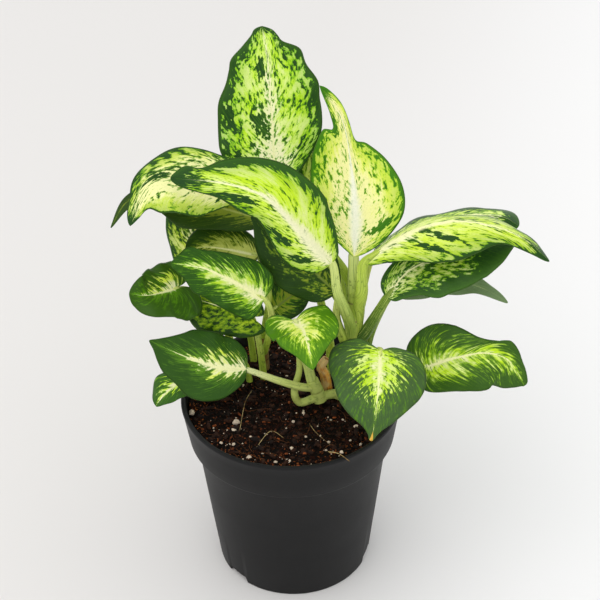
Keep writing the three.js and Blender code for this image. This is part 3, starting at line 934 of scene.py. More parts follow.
    def _stalk(self, mesh: Mesh) -> None:
        """Add the stalk, channelled above, that runs in under the midrib.

        Args:
            mesh: The mesh that takes the stalk.
        """
        face = Vector(self.face).normalized()
        root, neck = self.radius
        base, _ = self.line.at(0)
        under, _ = self.line.at(self.STALK_REACH)
        points = [*vectors(self.stalk), base - face * neck * 0.8 * MM, under - face * (0.5 + neck * 0.4) * MM]
        points[0] += (points[0] - points[1]).normalized() * 0.3 * MM
        if self.clasp:
            foot = points[0] / MM
            middle = Vector((*self.CANE_MIDDLE, foot.z))
            start = foot.lerp(middle, self.CLASP_LEAN) - Vector((0, 0, self.clasp))
            points.insert(0, start * MM)
        line = Line(points)
        clasped = max(self.clasp * MM / line.length, 1e-6)
        basal = 1 - self.STALK_REACH * self.line.length / line.length

        def radius(angle: float, along: float) -> float:
            """The stalk's radius, with its channel and ribs.

            Args:
                angle: From -pi to pi, and 0 at the channel.
                along: From 0 at the foot to 1 under the midrib.

            Returns:
                The radius, in mm.
            """
            channel = 0.2 * math.exp(-((angle / 0.5) ** 2)) * min(4 * along, 1)
            thin = 1 - 0.7 * max(along - basal, 0) / (1 - basal)
            sheath = self.sheath * math.exp(-((max(along - clasped, 0) / (basal - clasped) / 0.7) ** 4))
            rib = 0.03 * math.cos(angle * 9 + along * 3)
            taper = min(1.0, 0.45 + 0.55 * along / clasped)
            return (root + (neck - root) * along) * (1 - channel + sheath + rib) * thin * taper

        for part in tube(mesh, line, radius, face, self.STALK_SIDES, self.STALK_STEPS):
            part.material_index = 1

    def build(self) -> None:
        """Build the whole leaf."""
        mesh = blank()
        self._blade(mesh)
        self._stalk(mesh)
        closed(mesh, WIDE_SEAM)
        blade = self.finish.material(f"{self.name}_mottling", self.line.length / MM, self.widest / MM)
        stalk = self.stalk_finish.material(f"{self.name}_stalk_skin")
        piece(f"grown_{self.name}", mesh, Slot.LEAF, [blade, stalk], [self.name])


LEAVES = [
    Leaf(
        "leaf_a", midrib=[(-7, 48, 230), (-7, 62, 249), (-8, 73, 271), (-9, 82, 293), (-12, 90, 311)],
        left=(9, 16, 21.5, 27, 30.5, 31.2, 30.8, 29.6, 25.2, 22.6, 20.4, 13, 7.2, 4.5),
        right=(
            6, 9.5, 13.6, 18.3, 23.2, 27.6, 28.6, 27.8, 27.2, 21.2, 18.6, (10, -1.5), (7.7, -2.5),
            (5.2, -1.8),
        ),
        face=(0, -0.9, 0.42), fold=(8, 8), curl=(-15, -15), wave=(1.8, 3.5, 0.5),
        stalk=[(36, 17.5, 171), (31, 28, 188)], radius=(2.6, 1.9), sheath=0.3, clasp=30,
        finish=LeafFinish(
            margin=1.12, density=(0.7, 0.66), halo=0.12, slant=0.5, fleck=(2.8, 2.8), heart_reach=0.16,
            base_heart=0.6, blotch=1.0, middle=BRIGHT_GREEN, pale=seen(200, 240, 40),
            marks=[
                (0.52, -0.24, 0.06, 0.18), (0.44, -0.8, 0.05, 0.12), (0.24, -0.6, 0.04, 0.12),
                (0.8, -0.35, 0.05, 0.16),
            ],
            tip=(0.95, 1.08), seed=1.0,
        ),
    ),
    Leaf(
        "leaf_b", midrib=[(24, 8, 206), (7, 3, 230), (-10, 1, 253), (-31, 2, 262), (-61, 6, 264)],
        left=(9, 13, 17.5, 17, 13.8, 12, 12.6, 8.4, 6.6, 4.8, 2.5),
        right=(6, 10, 15, 20, 23.5, 21.6, 17.8, 13, 6.8, 7.2, 3), face=(-0.25, -0.75, 0.6),
        stalk=[(35, 11.5, 158), (31.5, 6, 175), (27, 4, 190)], radius=(2.8, 2.2), sheath=0.3, clasp=26,
        stalk_finish=StalkFinish(root=seen(156, 180, 72), neck=seen(214, 224, 136)),
        finish=LeafFinish(
            margin=(1.2, 1.0), broken=0.45, density=(0.62, 0.4), fleck=(2.6, 3.0), slant=0.8, heart_reach=0.1,
            base_heart=0.34, rib_width=4.6, rib=seen(246, 244, 200), tip=(0.82, 1.02), halo=0.14,
            marks=[(0.62, -0.7, 0.06, 0.25), (0.14, -0.6, 0.05, 0.22), (0.3, -0.7, 0.04, 0.2)], seed=2.0,
        ),
    ),
    Leaf(
        "leaf_c", midrib=[(37, 20, 202), (38, 34, 227), (36, 46, 250), (31, 52, 273), (19, 54, 292)],
        left=(2.5, 8.5, 16.5, 21.8, 24, 23.3, 19.6, 12.4, (6.7, -12), (5, -12), (2.4, -6)),
        right=(6, 13.5, 21.5, 28, 27.4, 20.5, (10.5, -2), (4.3, -11), (3.3, -11), (3.9, -7), (2.6, -2.5)),
        face=(0, -0.85, 0.5), stalk=[(37.8, 16.2, 181)], radius=(3.1, 3), sheath=0.35, clasp=40,
        stalk_finish=StalkFinish(neck=seen(214, 224, 140)),
        finish=LeafFinish(
            dark=seen(88, 148, 24), speck=seen(60, 122, 20), middle=seen(148, 198, 34),
            pale=seen(236, 247, 86), heart=seen(252, 247, 170), margin=(1.16, 1.2), density=(0.6, 0.56),
            fleck=(3.0, 2.4), slant=0.6, heart_reach=0.55, base_heart=0.1, rib_width=4.6,
            rib=seen(252, 250, 226), tip=(0.9, 1.05), halo=0.1,
            marks=[(0.2, 0.55, 0.035, 0.25), (0.75, -0.85, 0.08, 0.2)], seed=3.0,
        ),
    ),
    Leaf(
        "leaf_d", midrib=[(-14, 36, 236), (-36, 34, 245), (-57, 28, 251), (-74, 18, 251), (-85, 8, 233)],
        left=(3.5, 7, 11.5, 17.3, 22.8, 25.6, 26.2, 24.2, (16, -1.5), (7, -7), (3, -4)),
        right=(4, 8.5, 12.5, 15.4, 18, 20.2, 15.8, 11.2, 6.8, 5.4, 2.6), face=(-0.25, -0.5, 0.85),
        wave=(0.7, 3, 0), stalk=[(34.5, 15.5, 163), (22, 20, 186), (7, 28, 212)], radius=(2.4, 1.8),
        finish=LeafFinish(
            margin=(1.26, 1.24), density=(0.32, 0.68), heart_reach=0.62, pale=YELLOW_LIME,
            heart=seen(248, 246, 172), fleck=(3.0, 3.0),
            marks=[(0.34, -0.5, 0.014, 0.25), (0.7, 0.4, 0.05, 0.2)], seed=4.0,
        ),
    ),
    Leaf(
        "leaf_e", midrib=[(-11, 38, 215), (-38, 38, 225), (-68, 36, 235), (-87, 30, 236), (-98, 22, 223)],
        left=(8, 14.5, 18, 7.5, 2), right=(9, 15, 14, 5, 1.8), face=(-0.2, -0.4, 0.9),
        stalk=[(25, 24, 105), (22, 30, 145), (9, 40, 190)], radius=(2.6, 1.7),
        finish=LeafFinish(
            dark=seen(54, 80, 24), middle=seen(92, 118, 30), pale=OLIVE, heart=OLIVE, core=0.3, spikes=0.6,
            spike_end=1.3, pepper=2.0, rib=seen(186, 194, 100), seed=5.0,
        ),
    ),
    Leaf(
        "leaf_f", midrib=[(-40, 45, 163), (-52, 50, 188), (-59, 52, 212), (-61, 50, 230)],
        left=(10, 17, 17, 12, 5), right=(10, 17, 17, 12, 5), face=(-0.3, -0.8, 0.45),
        stalk=[(-22, 39, 105), (-26, 42, 140)], radius=(2, 1.5),
        finish=LeafFinish(
            density=(0.74, 0.8), pale=YELLOW_LIME, middle=seen(120, 160, 30), fleck=(2.6, 2.2), seed=6.0,
        ),
    ),
    Leaf(
        "leaf_g", midrib=[(-17, 24, 201), (-31, 24, 205), (-46, 22, 209), (-57, 18, 209)],
        left=(8, 14, 15, 11, 5), right=(8, 14, 15, 12, 6), face=(-0.1, -0.6, 0.8),
        stalk=[(-16.5, 31, 138), (-14.5, 25, 153), (-11.5, 23.5, 178)], radius=(1.7, 1.3),
        finish=LeafFinish(
            dark=seen(48, 76, 20), pale=OLIVE, heart=seen(214, 218, 110), middle=seen(104, 130, 24), core=0.4,
            spikes=0.7, spike_gap=1.6, spike_end=1.3, pepper=1.8, base_heart=0.5, seed=7.0,
        ),
    ),
    Leaf(
        "leaf_h", midrib=[(-14, 4, 185.5), (-29.5, 0, 200), (-46, -4, 212.5), (-63, -8, 219)],
        left=(8.5, 13.8, 15.8, 16.2, 16, 15.4, 14.7, 14, 8.6, 4.6, 2.2),
        right=(8, 12, 14.8, 16.5, 15.2, 13.4, 11.4, 9.6, 10.2, 5.6, 2.2), face=(-0.2, -0.7, 0.65), lobe=3,
        stalk=[(-16, 31, 126), (-12.5, 17, 149), (-10.5, 8.5, 172)], radius=(1.9, 1.5),
        finish=LeafFinish(
            dark=seen(48, 88, 18), pale=seen(190, 224, 50), core=0.42, spikes=0.6, spike_gap=2.0,
            spike_end=1.4, pepper=1.8, halo=0.5, middle=seen(110, 166, 22), heart_reach=0.1, base_heart=0.25,
            rib_width=2.0, seed=8.0,
        ),
    ),
    Leaf(
        "leaf_i", midrib=[(-64, 24, 180), (-72.5, 18, 181), (-81, 12, 183.5), (-90, 10, 186.5)],
        left=((3, -5), (13, -5), (21, -3), 22, 18.5, 15.8, 14.2, 10.5, 7.5, 5.4, 2.6),
        right=((3, -5), (11, -6), (18, -4), 18.5, 17, 15, 13.6, 12, 10, 6.5, 3), face=(-0.4, -0.6, 0.65),
        lobe=6, stalk=[(-27, 36, 105), (-42, 40, 145), (-56, 36, 168)], radius=(2, 1.4),
        finish=LeafFinish(
            dark=seen(62, 98, 22), pale=YELLOW_LIME, core=0.1, spikes=(0.15, 1.0), spike_gap=1.6,
            spike_end=1.1, halo=0.3, heart_reach=0.05, base_heart=0.2, rib_width=1.2, seed=9.0,
        ),
    ),
    Leaf(
        "leaf_j", midrib=[(-22, 19.5, 161.5), (-33, 22, 165), (-46, 25, 168), (-58, 28, 170.5)],
        left=((5, -6), (14, -3), 16, 17, 11), right=((5, -2), 15, 17, 12, 5), face=(-0.2, -0.75, 0.6), lobe=7,
        stalk=[(-16, 24, 105), (-18, 21, 138)], radius=(2, 1.6),
        finish=LeafFinish(
            margin=1.2, density=0.8, fleck=(2.6, 2.8), blotch=0.5, halo=0.35, dark=seen(66, 104, 20),
            middle=seen(96, 136, 18), speck=seen(34, 62, 20), pale=seen(182, 208, 34),
            heart=seen(190, 216, 60), heart_reach=0.0, base_heart=0.1, seed=10.0,
        ),
    ),
    Leaf(
        "leaf_k", midrib=[(-25, -4, 141.5), (-41, -8, 146.5), (-61, -10, 157.5), (-78.5, -10, 168.5)],
        left=(5, 9.2, 13.6, 18.6, 21.2, 20.6, 16.8, 13.6, 8.6, 3.8, 1.5),
        right=((9, -1), 15.5, 18.6, 19.6, 19.4, 18.6, 16.4, 11, 6.3, 2.9, 1), face=(-0.15, -0.6, 0.78),
        stalk=[(12, -1, 124.5), (5, -4, 128), (-8, -5, 134)], radius=(2.2, 1.6),
        stalk_finish=StalkFinish(root=seen(196, 206, 112), neck=seen(228, 230, 170), streaks=0.4),
        finish=LeafFinish(
            dark=seen(52, 88, 24), middle=seen(104, 154, 34), pale=YELLOW_LIME, core=0.16, spikes=(0.5, 0.8),
            spike_gap=4.0, spike_end=0.9, halo=0.14, slant=0.7, pepper=1.4, inner_light=0.5, heart_reach=0.16,
            base_heart=0.26, rib_width=2.2, seed=31.0,
        ),
    ),
    Leaf(
        "leaf_l", midrib=[(-44, 10, 138), (-59, 4, 132), (-72, -2, 124), (-79, -6, 117)],
        left=(6, 10, 12, 9, 4), right=(6, 10, 12, 14, 8), face=(-0.5, -0.4, 0.75),
        stalk=[(-24, 20, 105), (-28, 18, 130)], radius=(1.8, 1.3),
        finish=LeafFinish(core=0.3, spikes=0.9, spike_end=1.4, seed=12.0),
    ),
    Leaf(
        "leaf_m", midrib=[(3.5, -4, 175.5), (8, -14, 176), (10, -25, 174), (12.5, -36, 166)],
        left=(6.5, 12.5, 18, 20.6, 19.6, 17, 13.2, 8.8, 5.2, 2.8, 1),
        right=((5, -5), (10, -7), (15.5, -6), (18.4, -5), (17.6, -3), 16, 12.4, 8.2, 5, 2.8, 1),
        face=(0.05, -0.5, 0.87), lobe=8, stalk=[(12, 0, 129), (10, 0, 140), (7, -2, 155)], radius=(2.7, 1.8),
        stalk_finish=StalkFinish(root=seen(190, 204, 110), neck=seen(216, 224, 146), streaks=0.4),
        finish=LeafFinish(
            dark=seen(84, 134, 18), middle=seen(140, 186, 32), pale=YELLOW_LIME, core=0.4, spikes=0.7,
            spike_gap=1.7, spike_end=1.3, halo=0.5, pepper=1.8, heart_reach=0.08, base_heart=0.15, seed=13.0,
        ),
    ),
    Leaf(
        "leaf_n", midrib=[(51, -14, 161), (49, -32, 153), (46.5, -48, 143), (44, -54, 129.5)],
        left=((6, 3), (13, 5), (19.5, 3), 25, 26, 23.2, 17.8, 11.4, 5.4, 2.4, 1),
        right=(9, 16, 25.5, 29, 26, 23.7, 20.4, 14.6, 6.5, 2.6, 1.5), face=(0, -0.6, 0.8), lobe=10,
        stalk=[(38, -2, 105), (42, -2, 130), (48, -7, 153)], radius=(2.6, 2),
        finish=LeafFinish(
            dark=seen(72, 100, 50), middle=seen(104, 150, 30), core=0.4, spikes=0.6, spike_gap=1.8,
            spike_end=1.0, halo=0.26, pepper=2.2, inner_light=0.0, heart_reach=0.0, base_heart=0.1,
            rib_width=1.5, burnt_tip=True, seed=14.0,
        ),
    ),
    Leaf(
        "leaf_o",
        midrib=[(78, 0, 137), (94, -4, 147), (110.5, -7, 152.5), (124, -10, 149), (133.5, -14, 133.5)],
        left=((7.5, -4), (15, -2.5), 20.5, 22.7, 16.3, 8.8, 8.2, (10.3, -4.5), (6.7, -4), (5.4, -3.5), 3),
        right=(6, 11.5, 15.3, 18.3, 21.2, 22, 20.5, (18, 1), (13, 2.5), (7, 1), 2), face=(0.1, -0.65, 0.75),
        lobe=10, stalk=[(46, 8, 105), (50, 7, 125), (62, 4, 135)], radius=(2.4, 1.8),
        finish=LeafFinish(
            dark=seen(62, 98, 28), middle=seen(112, 158, 26), core=0.3, spikes=0.8, spike_gap=2.4,
            spike_end=1.5, halo=0.7, pepper=1.6, heart_reach=0.0, base_heart=0.1, rib_width=1.3, seed=15.0,
        ),
    ),
    Leaf(
        "leaf_p",
        midrib=[(42, 10, 205), (64, 8, 224), (86, 6, 233), (109, 2, 233), (128, -2, 226), (142, -6, 214)],
        left=(10, 20, 22, 14, 5), right=(3.5, 6.5, 11, 16.5, 21.8, 21.8, 15.8, 8, 5.6, 3.2, 1.4),
        face=(-0.05, -0.35, 0.93), fold=(-40, -35), stalk=[(39, 13.5, 166), (41, 8.6, 186)],
        radius=(3.4, 2.9), sheath=0.25, clasp=44,
        stalk_finish=StalkFinish(root=seen(170, 192, 72), neck=seen(176, 198, 72)),
        finish=LeafFinish(
            margin=1.2, density=(0.6, 0.5), fleck=(2.6, 3.2), slant=0.8, halo=0.14, pale=seen(214, 240, 60),
            heart_reach=0.06, base_heart=0.3, rib_width=2.0, tip=(0.84, 1.02),
            marks=[(0.5, 0.35, 0.03, 0.3), (0.38, 0.55, 0.03, 0.2)], seed=16.0,
        ),
    ),
    Leaf(
        "leaf_q", midrib=[(49, 34, 194), (75, 36, 210.5), (101, 36, 217), (120, 32, 219), (130, 28, 215)],
        left=(8, 12, 16, 18, 18.5, 18, 15.5, 13.5, 15, 11.5, 6), right=(10, 13, 13, 11, 7),
        face=(0, -0.3, 0.95), fold=(-30, -30), stalk=[(38, 17, 156), (43, 27, 178)], radius=(2.4, 1.9),
        sheath=0.3, clasp=24, finish=LeafFinish(margin=(0.95, 0.9), density=0.75, tip=(0.9, 1.0), seed=17.0),
    ),
    Leaf(
        "leaf_r", midrib=[(55, 8, 182), (68, 14, 196), (91, 18, 205), (110, 18, 210), (126, 14, 212)],
        left=(8, 10, 11, 8, 4), right=(5.5, 8.8, 13.7, 18.8, 23.6, 23.3, 22.6, 21, 18, 12, 4),
        face=(0, -0.5, 0.85), stalk=[(37, 12, 144), (44, 11, 156)], radius=(3, 2.5), sheath=0.3, clasp=20,
        stalk_finish=StalkFinish(root=seen(62, 96, 30), neck=seen(116, 142, 48), streak=MARGIN_GREEN),
        finish=LeafFinish(
            dark=seen(72, 112, 38), margin=(1.05, 0.94), density=(0.8, 0.76), heart_reach=0.02,
            base_heart=0.3, tip=(0.7, 0.95), pale=seen(176, 204, 62), seed=18.0,
        ),
    ),
    Leaf(
        "leaf_s", midrib=[(61, 26, 173), (81, 28, 178), (101, 26, 178), (115, 20, 176), (125, 14, 172)],
        left=(8, 11, 10, 5, 2), right=(8, 10, 9, 5, 2), face=(0, -0.4, 0.9),
        stalk=[(44, 18, 105), (46, 20, 140), (54, 24, 162)], radius=(2.4, 1.6),
        stalk_finish=StalkFinish(root=DARK_STALK, neck=STALK_GREEN, streak=DEEP_GREEN),
        finish=LeafFinish(
            dark=seen(126, 148, 98), middle=seen(142, 164, 108), pale=seen(158, 176, 104), core=0.1,
            heart_reach=0.0, base_heart=0.1, seed=19.0,
        ),
    ),
    Leaf(
        "leaf_t", midrib=[(27, 12, 183), (10, 18, 199), (-7, 21, 215), (-20, 23, 228)],
        left=(12.3, 18.4, 20.5, 13, 3), right=(8, 16, 20, 15, 6), face=(-0.3, -0.75, 0.55),
        stalk=[(33, 13, 142), (27, 11, 165)], radius=(2.4, 1.8), sheath=0.3, clasp=20,
        finish=LeafFinish(
            dark=seen(46, 76, 18), speck=seen(38, 66, 18), density=(1.1, 1.0), pale=OLIVE, heart=OLIVE,
            middle=seen(84, 118, 22), margin=1.0, fleck=(3.4, 3.0), rib=seen(124, 142, 56), seed=20.0,
        ),
    ),
    Leaf(
        "leaf_u", midrib=[(-9, 26, 162), (-1, 28.5, 167.5), (6.5, 31, 172), (13, 33, 175.5)],
        left=(8, 13, 13, 9, 4), right=(7, 11, 11, 8, 4), face=(-0.1, -0.8, 0.5), lobe=3,
        stalk=[(-14.5, 33, 134), (-9.5, 32, 147)], radius=(1.6, 1.3),
        finish=LeafFinish(
            dark=seen(44, 74, 20), pale=OLIVE, heart=OLIVE, core=0.1, spikes=1.0, spike_gap=1.6,
            spike_end=1.4, rib=seen(126, 144, 64), seed=21.0,
        ),
    ),
    Leaf(
        "leaf_v", midrib=[(24, 48, 195), (20, 58, 213), (16, 66, 232), (15, 72, 248)], left=(8, 13, 13, 9, 4),
        right=(8, 13, 13, 9, 4), face=(-0.1, -0.85, 0.5), stalk=[(35.5, 16.5, 146), (33, 31, 172)],
        sheath=0.3, clasp=20, finish=LeafFinish(density=0.7, pale=YELLOW_LIME, seed=22.0),
    ),
]


# ---- Canes and shoots ----


@dataclass
class Cane:
    """A cane or shoot: one or more tapered tubes with rings where leaves have dropped."""

    name: str
    node: str
    axes: Sequence[Sequence[Point]]
    radii: Sequence[Pair]
    finish: CaneFinish = CaneFinish()
    rings: int = 7
    swelling: float = 0.06  # of each ring, as a share of the radius

    FRONT = (0.1, -1, 0.2)  # the seam lies on the other side
    SIDES, STEPS = 28, 90

    def build(self) -> None:
        """Build the cane."""
        mesh = blank()
        for axis, (foot, top) in zip(self.axes, self.radii):

            def radius(_angle: float, along: float, foot: float = foot, top: float = top) -> float:
                """The cane's radius, with its rings and blunt ends.

                Args:
                    _angle: Not used, because a cane is round.
                    along: From 0 at the foot to 1 at the top.
                    foot: The radius at the foot, in mm.
                    top: The radius at the top, in mm.

                Returns:
                    The radius, in mm.
                """
                ring = self.swelling * max(math.cos(FULL_TURN * self.rings * along), 0) ** 8
                blunt = min(1, (1 - along) * 12, along * 25) ** 0.5
                return (foot + (top - foot) * along) * (1 + ring) * blunt

            tube(mesh, Line(vectors(axis)), radius, self.FRONT, self.SIDES, self.STEPS)
        closed(mesh, WIDE_SEAM)
        skin = self.finish.material(f"{self.name}_skin", self.rings)
        piece(self.name, mesh, Slot.CANE, [skin], [self.node])


CANES = [
    Cane(
        "main_cane", "stem_main", axes=[[(36, 12, 105), (36.2, 13, 140), (37.4, 15, 175), (38.2, 16, 187)]],
        radii=[(5.2, 3.6)],
    ),
    Cane(
        "side_cane", "stem_side", axes=[[(-16, 32, 105), (-16, 32, 125), (-15, 32, 148)]],
        radii=[(3.4, 2.2)], finish=CaneFinish(skin=seen(132, 104, 60), scar=seen(96, 62, 38)), rings=5,
    ),
    Cane(
        "front_shoot", "stem_front",
        axes=[
            [(33, 3, 105), (27, 4, 115), (15, -1, 117), (5, -5, 117), (2, -2, 123), (5, 6, 132), (5, 9, 144),
             (6, 11, 156)],
            [(17, 0, 114), (15, 0, 122), (12, 0, 131)],
        ],
        radii=[(3.2, 1.2), (4.4, 3.4)],
        finish=CaneFinish(skin=seen(182, 194, 100), scar=seen(142, 148, 70)), rings=2, swelling=0.02,
    ),
]


@dataclass
class DriedSheath:
    """The papery sheath of a dropped leaf, rolled round itself and hooked at its top."""

    axis: Sequence[Point] = ((21, 9, 105), (21, 8, 118), (20, 7, 128), (18, 7, 134), (21, 8, 139))
    radius: Pair = (3.8, 2.4)
    wrap: float = 1.18  # turns that the sheath makes round itself
    thickness: float = 0.35
    crinkle: float = 0.06  # how deep its folds are, as a share of its radius

    FRONT = (0.2, -1, 0.1)
    EDGE = 0.35  # share of the sheet that lies to the left of the front
    COLUMNS, ROWS = 44, 60

    def build(self) -> None:
        """Build the sheath."""
        mesh = blank()
        line = Line(vectors(self.axis))
        foot, top = self.radius

        def place(across: float, along: float) -> Vector:
            """A point of the rolled sheet.

            Args:
                across: From 0 at the inner edge to 1 at the outer one.
                along: From 0 at the foot to 1 at the top.

            Returns:
                The point.
            """
            middle, ahead = line.at(along)
            side = ahead.cross(Vector(self.FRONT)).normalized()
            front = side.cross(ahead)
            angle = (across - self.EDGE) * FULL_TURN * self.wrap
            reach = (foot + (top - foot) * along**1.4) * (0.82 + 0.16 * across)
            reach *= 1 + self.crinkle * math.sin(angle * 5 + along * 4)
            return middle + (front * math.cos(angle) + side * math.sin(angle)) * reach * MM

        laid_grid(mesh, self.COLUMNS, self.ROWS, place)
        bmesh.ops.recalc_face_normals(mesh, faces=mesh.faces)
        bmesh.ops.solidify(mesh, geom=mesh.faces[:], thickness=self.thickness * MM)
        bmesh.ops.recalc_face_normals(mesh, faces=mesh.faces)
        piece("papery_sheath", mesh, Slot.DRIED_SHEATH, [dry_paper()], ["dried_sheath"])


# ---- Soil ----


@dataclass
class Soil:
    """Potting soil: a crumbly body with perlite, bark and fibres on top of it."""

    level: float = 113
    top_radius: float = 60.5
    foot_radius: float = 45.0
    underside: float = 6.9
    collar: Pair = (58.3, 94.5)  # radius and height where the pot's wall steps out
    rings: int = 120
    segments: int = 280
    random: Random = field(default_factory=lambda: Random(5))

    PERLITE, BARK, COIR, FIBRES = 230, 900, 300, 60  # how many of each
    # Grains that stand out: x, y and size
    LARGE_GRAINS = (
        (-58, -9, 1.7), (-32, -18, 1.9), (-33, -25, 1.2), (-33, -36, 1.1), (-40, -36, 0.9), (0, -41, 1.1),
        (-2, -52, 1.5), (37, -24, 1.3), (21, -36, 0.9), (39, -38, 1.0), (28, -45, 1.0), (8, -32, 0.8),
        (1, -19, 0.9), (7, -11, 0.9), (-4, 5, 1.0), (-24, -48, 1.2), (-9, -52, 1.0), (50, -22, 1.2),
    )
    # Longer straws and roots, each with its radius: one over the rim, the others out of the soil
    STRAWS = (
        ([(20, -47, 116), (26, -54, 120.6), (32, -60.5, 120.6)], 0.22),
        ([(-30, -28, 114), (-27, -6, 118), (-23, 10, 115)], 0.13),
        ([(10, -20, 114), (14, -32, 117), (22, -40, 114.5)], 0.1),
        ([(-20, -40, 114), (-12, -30, 117), (-4, -33, 114)], 0.14),
    )
    FIBRE_LENGTH, FIBRE_RADIUS = (6, 20), 0.11
    FIBRE_BEND = 0.35  # largest turn between a fibre's points, in radians
    FIBRE_LIFT = (0.1, 1.3)  # how high its points lie over the soil
    RELIEF = (0.7, 0.9, 1.1)  # height of the surface's ripple, clods and crumbs
    FLATNESS = (0.55, 0.9)  # a bit's height, as a share of its width
    TILT = 0.5  # a bit's largest lean, in radians
    ROUGHNESS = 0.35  # how far a bit's skin is pushed in or out, as a share of its radius
    NEAR_WALL = 2  # no bit lies nearer than this to the pot's wall

    def height(self, x: float, y: float) -> float:
        """Height of the crumbly surface.

        Args:
            x: Place to the right, in mm.
            y: Place towards the back, in mm.

        Returns:
            The height, in mm.
        """
        ripple = math.sin(x * 0.19 + 1) * math.cos(y * 0.23) + 0.6 * math.sin(x * 0.41 - y * 0.37)
        clods = noise.fractal(Vector((x, y, 3)) / 7, 0.6, 2.0, 3)
        fine = abs(noise.noise(Vector((x, y, 8)) / 1.6)) + 0.5 * abs(noise.noise(Vector((x, y, 1)) / 0.8))
        swell, clod, crumb = self.RELIEF
        return self.level + swell * ripple + clod * clods + crumb * fine

    def _body(self) -> None:
        """Build the soil itself, from the middle of its underside round to the middle of its top."""
        mesh = blank()
        radius, height = self.collar
        wall_foot, wall_top = (self.foot_radius, self.underside), (radius - 3.6, height - 1.5)
        below = [(0, self.underside), wall_foot, wall_top, self.collar]
        rows = len(below) + self.rings

        def place(around: float, along: float) -> Vector:
            """A point of the soil's skin.

            Args:
                around: From 0 to 1 round the pot.
                along: From 0 at the middle of the underside to 1 at the middle of the top.

            Returns:
                The point.
            """
            row = round(along * rows)
            angle = around * FULL_TURN
            if row < len(below):
                radius, height = below[row]
            else:
                radius = self.top_radius * (1 - (row - len(below)) / self.rings)
                height = self.level - 0.2
            x, y = radius * math.cos(angle), radius * math.sin(angle)
            if row > len(below):
                height = self.height(x, y)
            return Vector((x, y, height)) * MM

        laid_grid(mesh, self.segments, rows, place)
        closed(mesh)
        piece("potting_soil", mesh, Slot.SOIL, [damp_peat()], ["soil"])

    def _bits(
        self, name: str, places: Sequence[Point], long: float, level: int, *finish: Union[Colour, float]
    ) -> None:
        """Build loose bits that lie on the soil.

        Args:
            name: The piece's name.
            places: Each bit's x, y and radius, in mm.
            long: How much longer than wide a bit may be.
            level: How finely each bit is made.
            finish: The light and the dark colour, and how fine the grain is.
        """
        mesh = blank()
        for x, y, size in places:
            length, flatness = self.random.uniform(1, long), self.random.uniform(*self.FLATNESS)
            stretch = Matrix.Diagonal((length, 1, flatness, 1))
            turn = Matrix.Rotation(self.random.uniform(0, FULL_TURN), 4, "Z")
            tilt = Matrix.Rotation(self.random.uniform(-self.TILT, self.TILT), 4, "X")
            centre = Vector((x, y, self.height(x, y) + size * 0.3)) * MM
            matrix = Matrix.Translation(centre) @ turn @ tilt @ stretch
            made = bmesh.ops.create_icosphere(mesh, subdivisions=level, radius=size * MM, matrix=matrix)
            for vertex in made["verts"]:
                push = noise.noise(vertex.co * 900) * self.ROUGHNESS
                vertex.co += (vertex.co - centre) * push
        for face in mesh.faces:
            face.smooth = level > 1
        piece(name, mesh, Slot.SOIL, [crumbs(f"{name}_finish", *finish)])

    def _scattered(self, count: int, smallest: float = 1.0, largest: float = 1.0) -> List[Point]:
        """Random places on the soil with random sizes, small ones more often.

        Args:
            count: How many.
            smallest: The smallest size, in mm.
            largest: The largest size, in mm.

        Returns:
            The x, y and size of each, in mm.
        """
        places = []
        for _ in range(count):
            angle = self.random.uniform(0, FULL_TURN)
            radius = (self.top_radius - self.NEAR_WALL) * math.sqrt(self.random.random())
            size = smallest + (largest - smallest) * self.random.random() ** 3
            places.append((radius * math.cos(angle), radius * math.sin(angle), size))
        return places

    def _fibre(self, x: float, y: float) -> List[Point]:
        """The points of a fibre that lies bent on the soil.

        Args:
            x: Its middle's place to the right, in mm.
            y: Its middle's place towards the back, in mm.

        Returns:
            The points, in mm.
        """
        reach = self.random.uniform(*self.FIBRE_LENGTH) / 2
        heading = self.random.uniform(0, FULL_TURN)
        points = []
        for step in range(-2, 3):
            heading += self.random.uniform(-self.FIBRE_BEND, self.FIBRE_BEND)
            far_x, far_y = x + step * reach / 2 * math.cos(heading), y + step * reach / 2 * math.sin(heading)
            shrink = min(1, (self.top_radius - 1.5) / max(math.hypot(far_x, far_y), 1))
            far_x, far_y = far_x * shrink, far_y * shrink
            lift = self.random.uniform(*self.FIBRE_LIFT)
            points.append((far_x, far_y, self.height(far_x, far_y) + lift))
        return points

    @staticmethod
    def _strands(
        name: str, strands: Sequence, up: Point, detail: Tuple[int, int], skin: bpy.types.Material
    ) -> None:
        """Build thin strands that lie on the soil.

        Args:
            name: The piece's name.
            strands: Each strand's points and radius, in mm.
            up: The direction that their seam looks away from.
            detail: Faces round and along each of them.
            skin: Their material.
        """
        mesh = blank()
        for points, radius in strands:
            tube(mesh, Line(vectors(points)), lambda _angle, _along, radius=radius: radius, up, *detail)
        closed(mesh, FINE_SEAM)
        piece(name, mesh, Slot.SOIL, [skin])

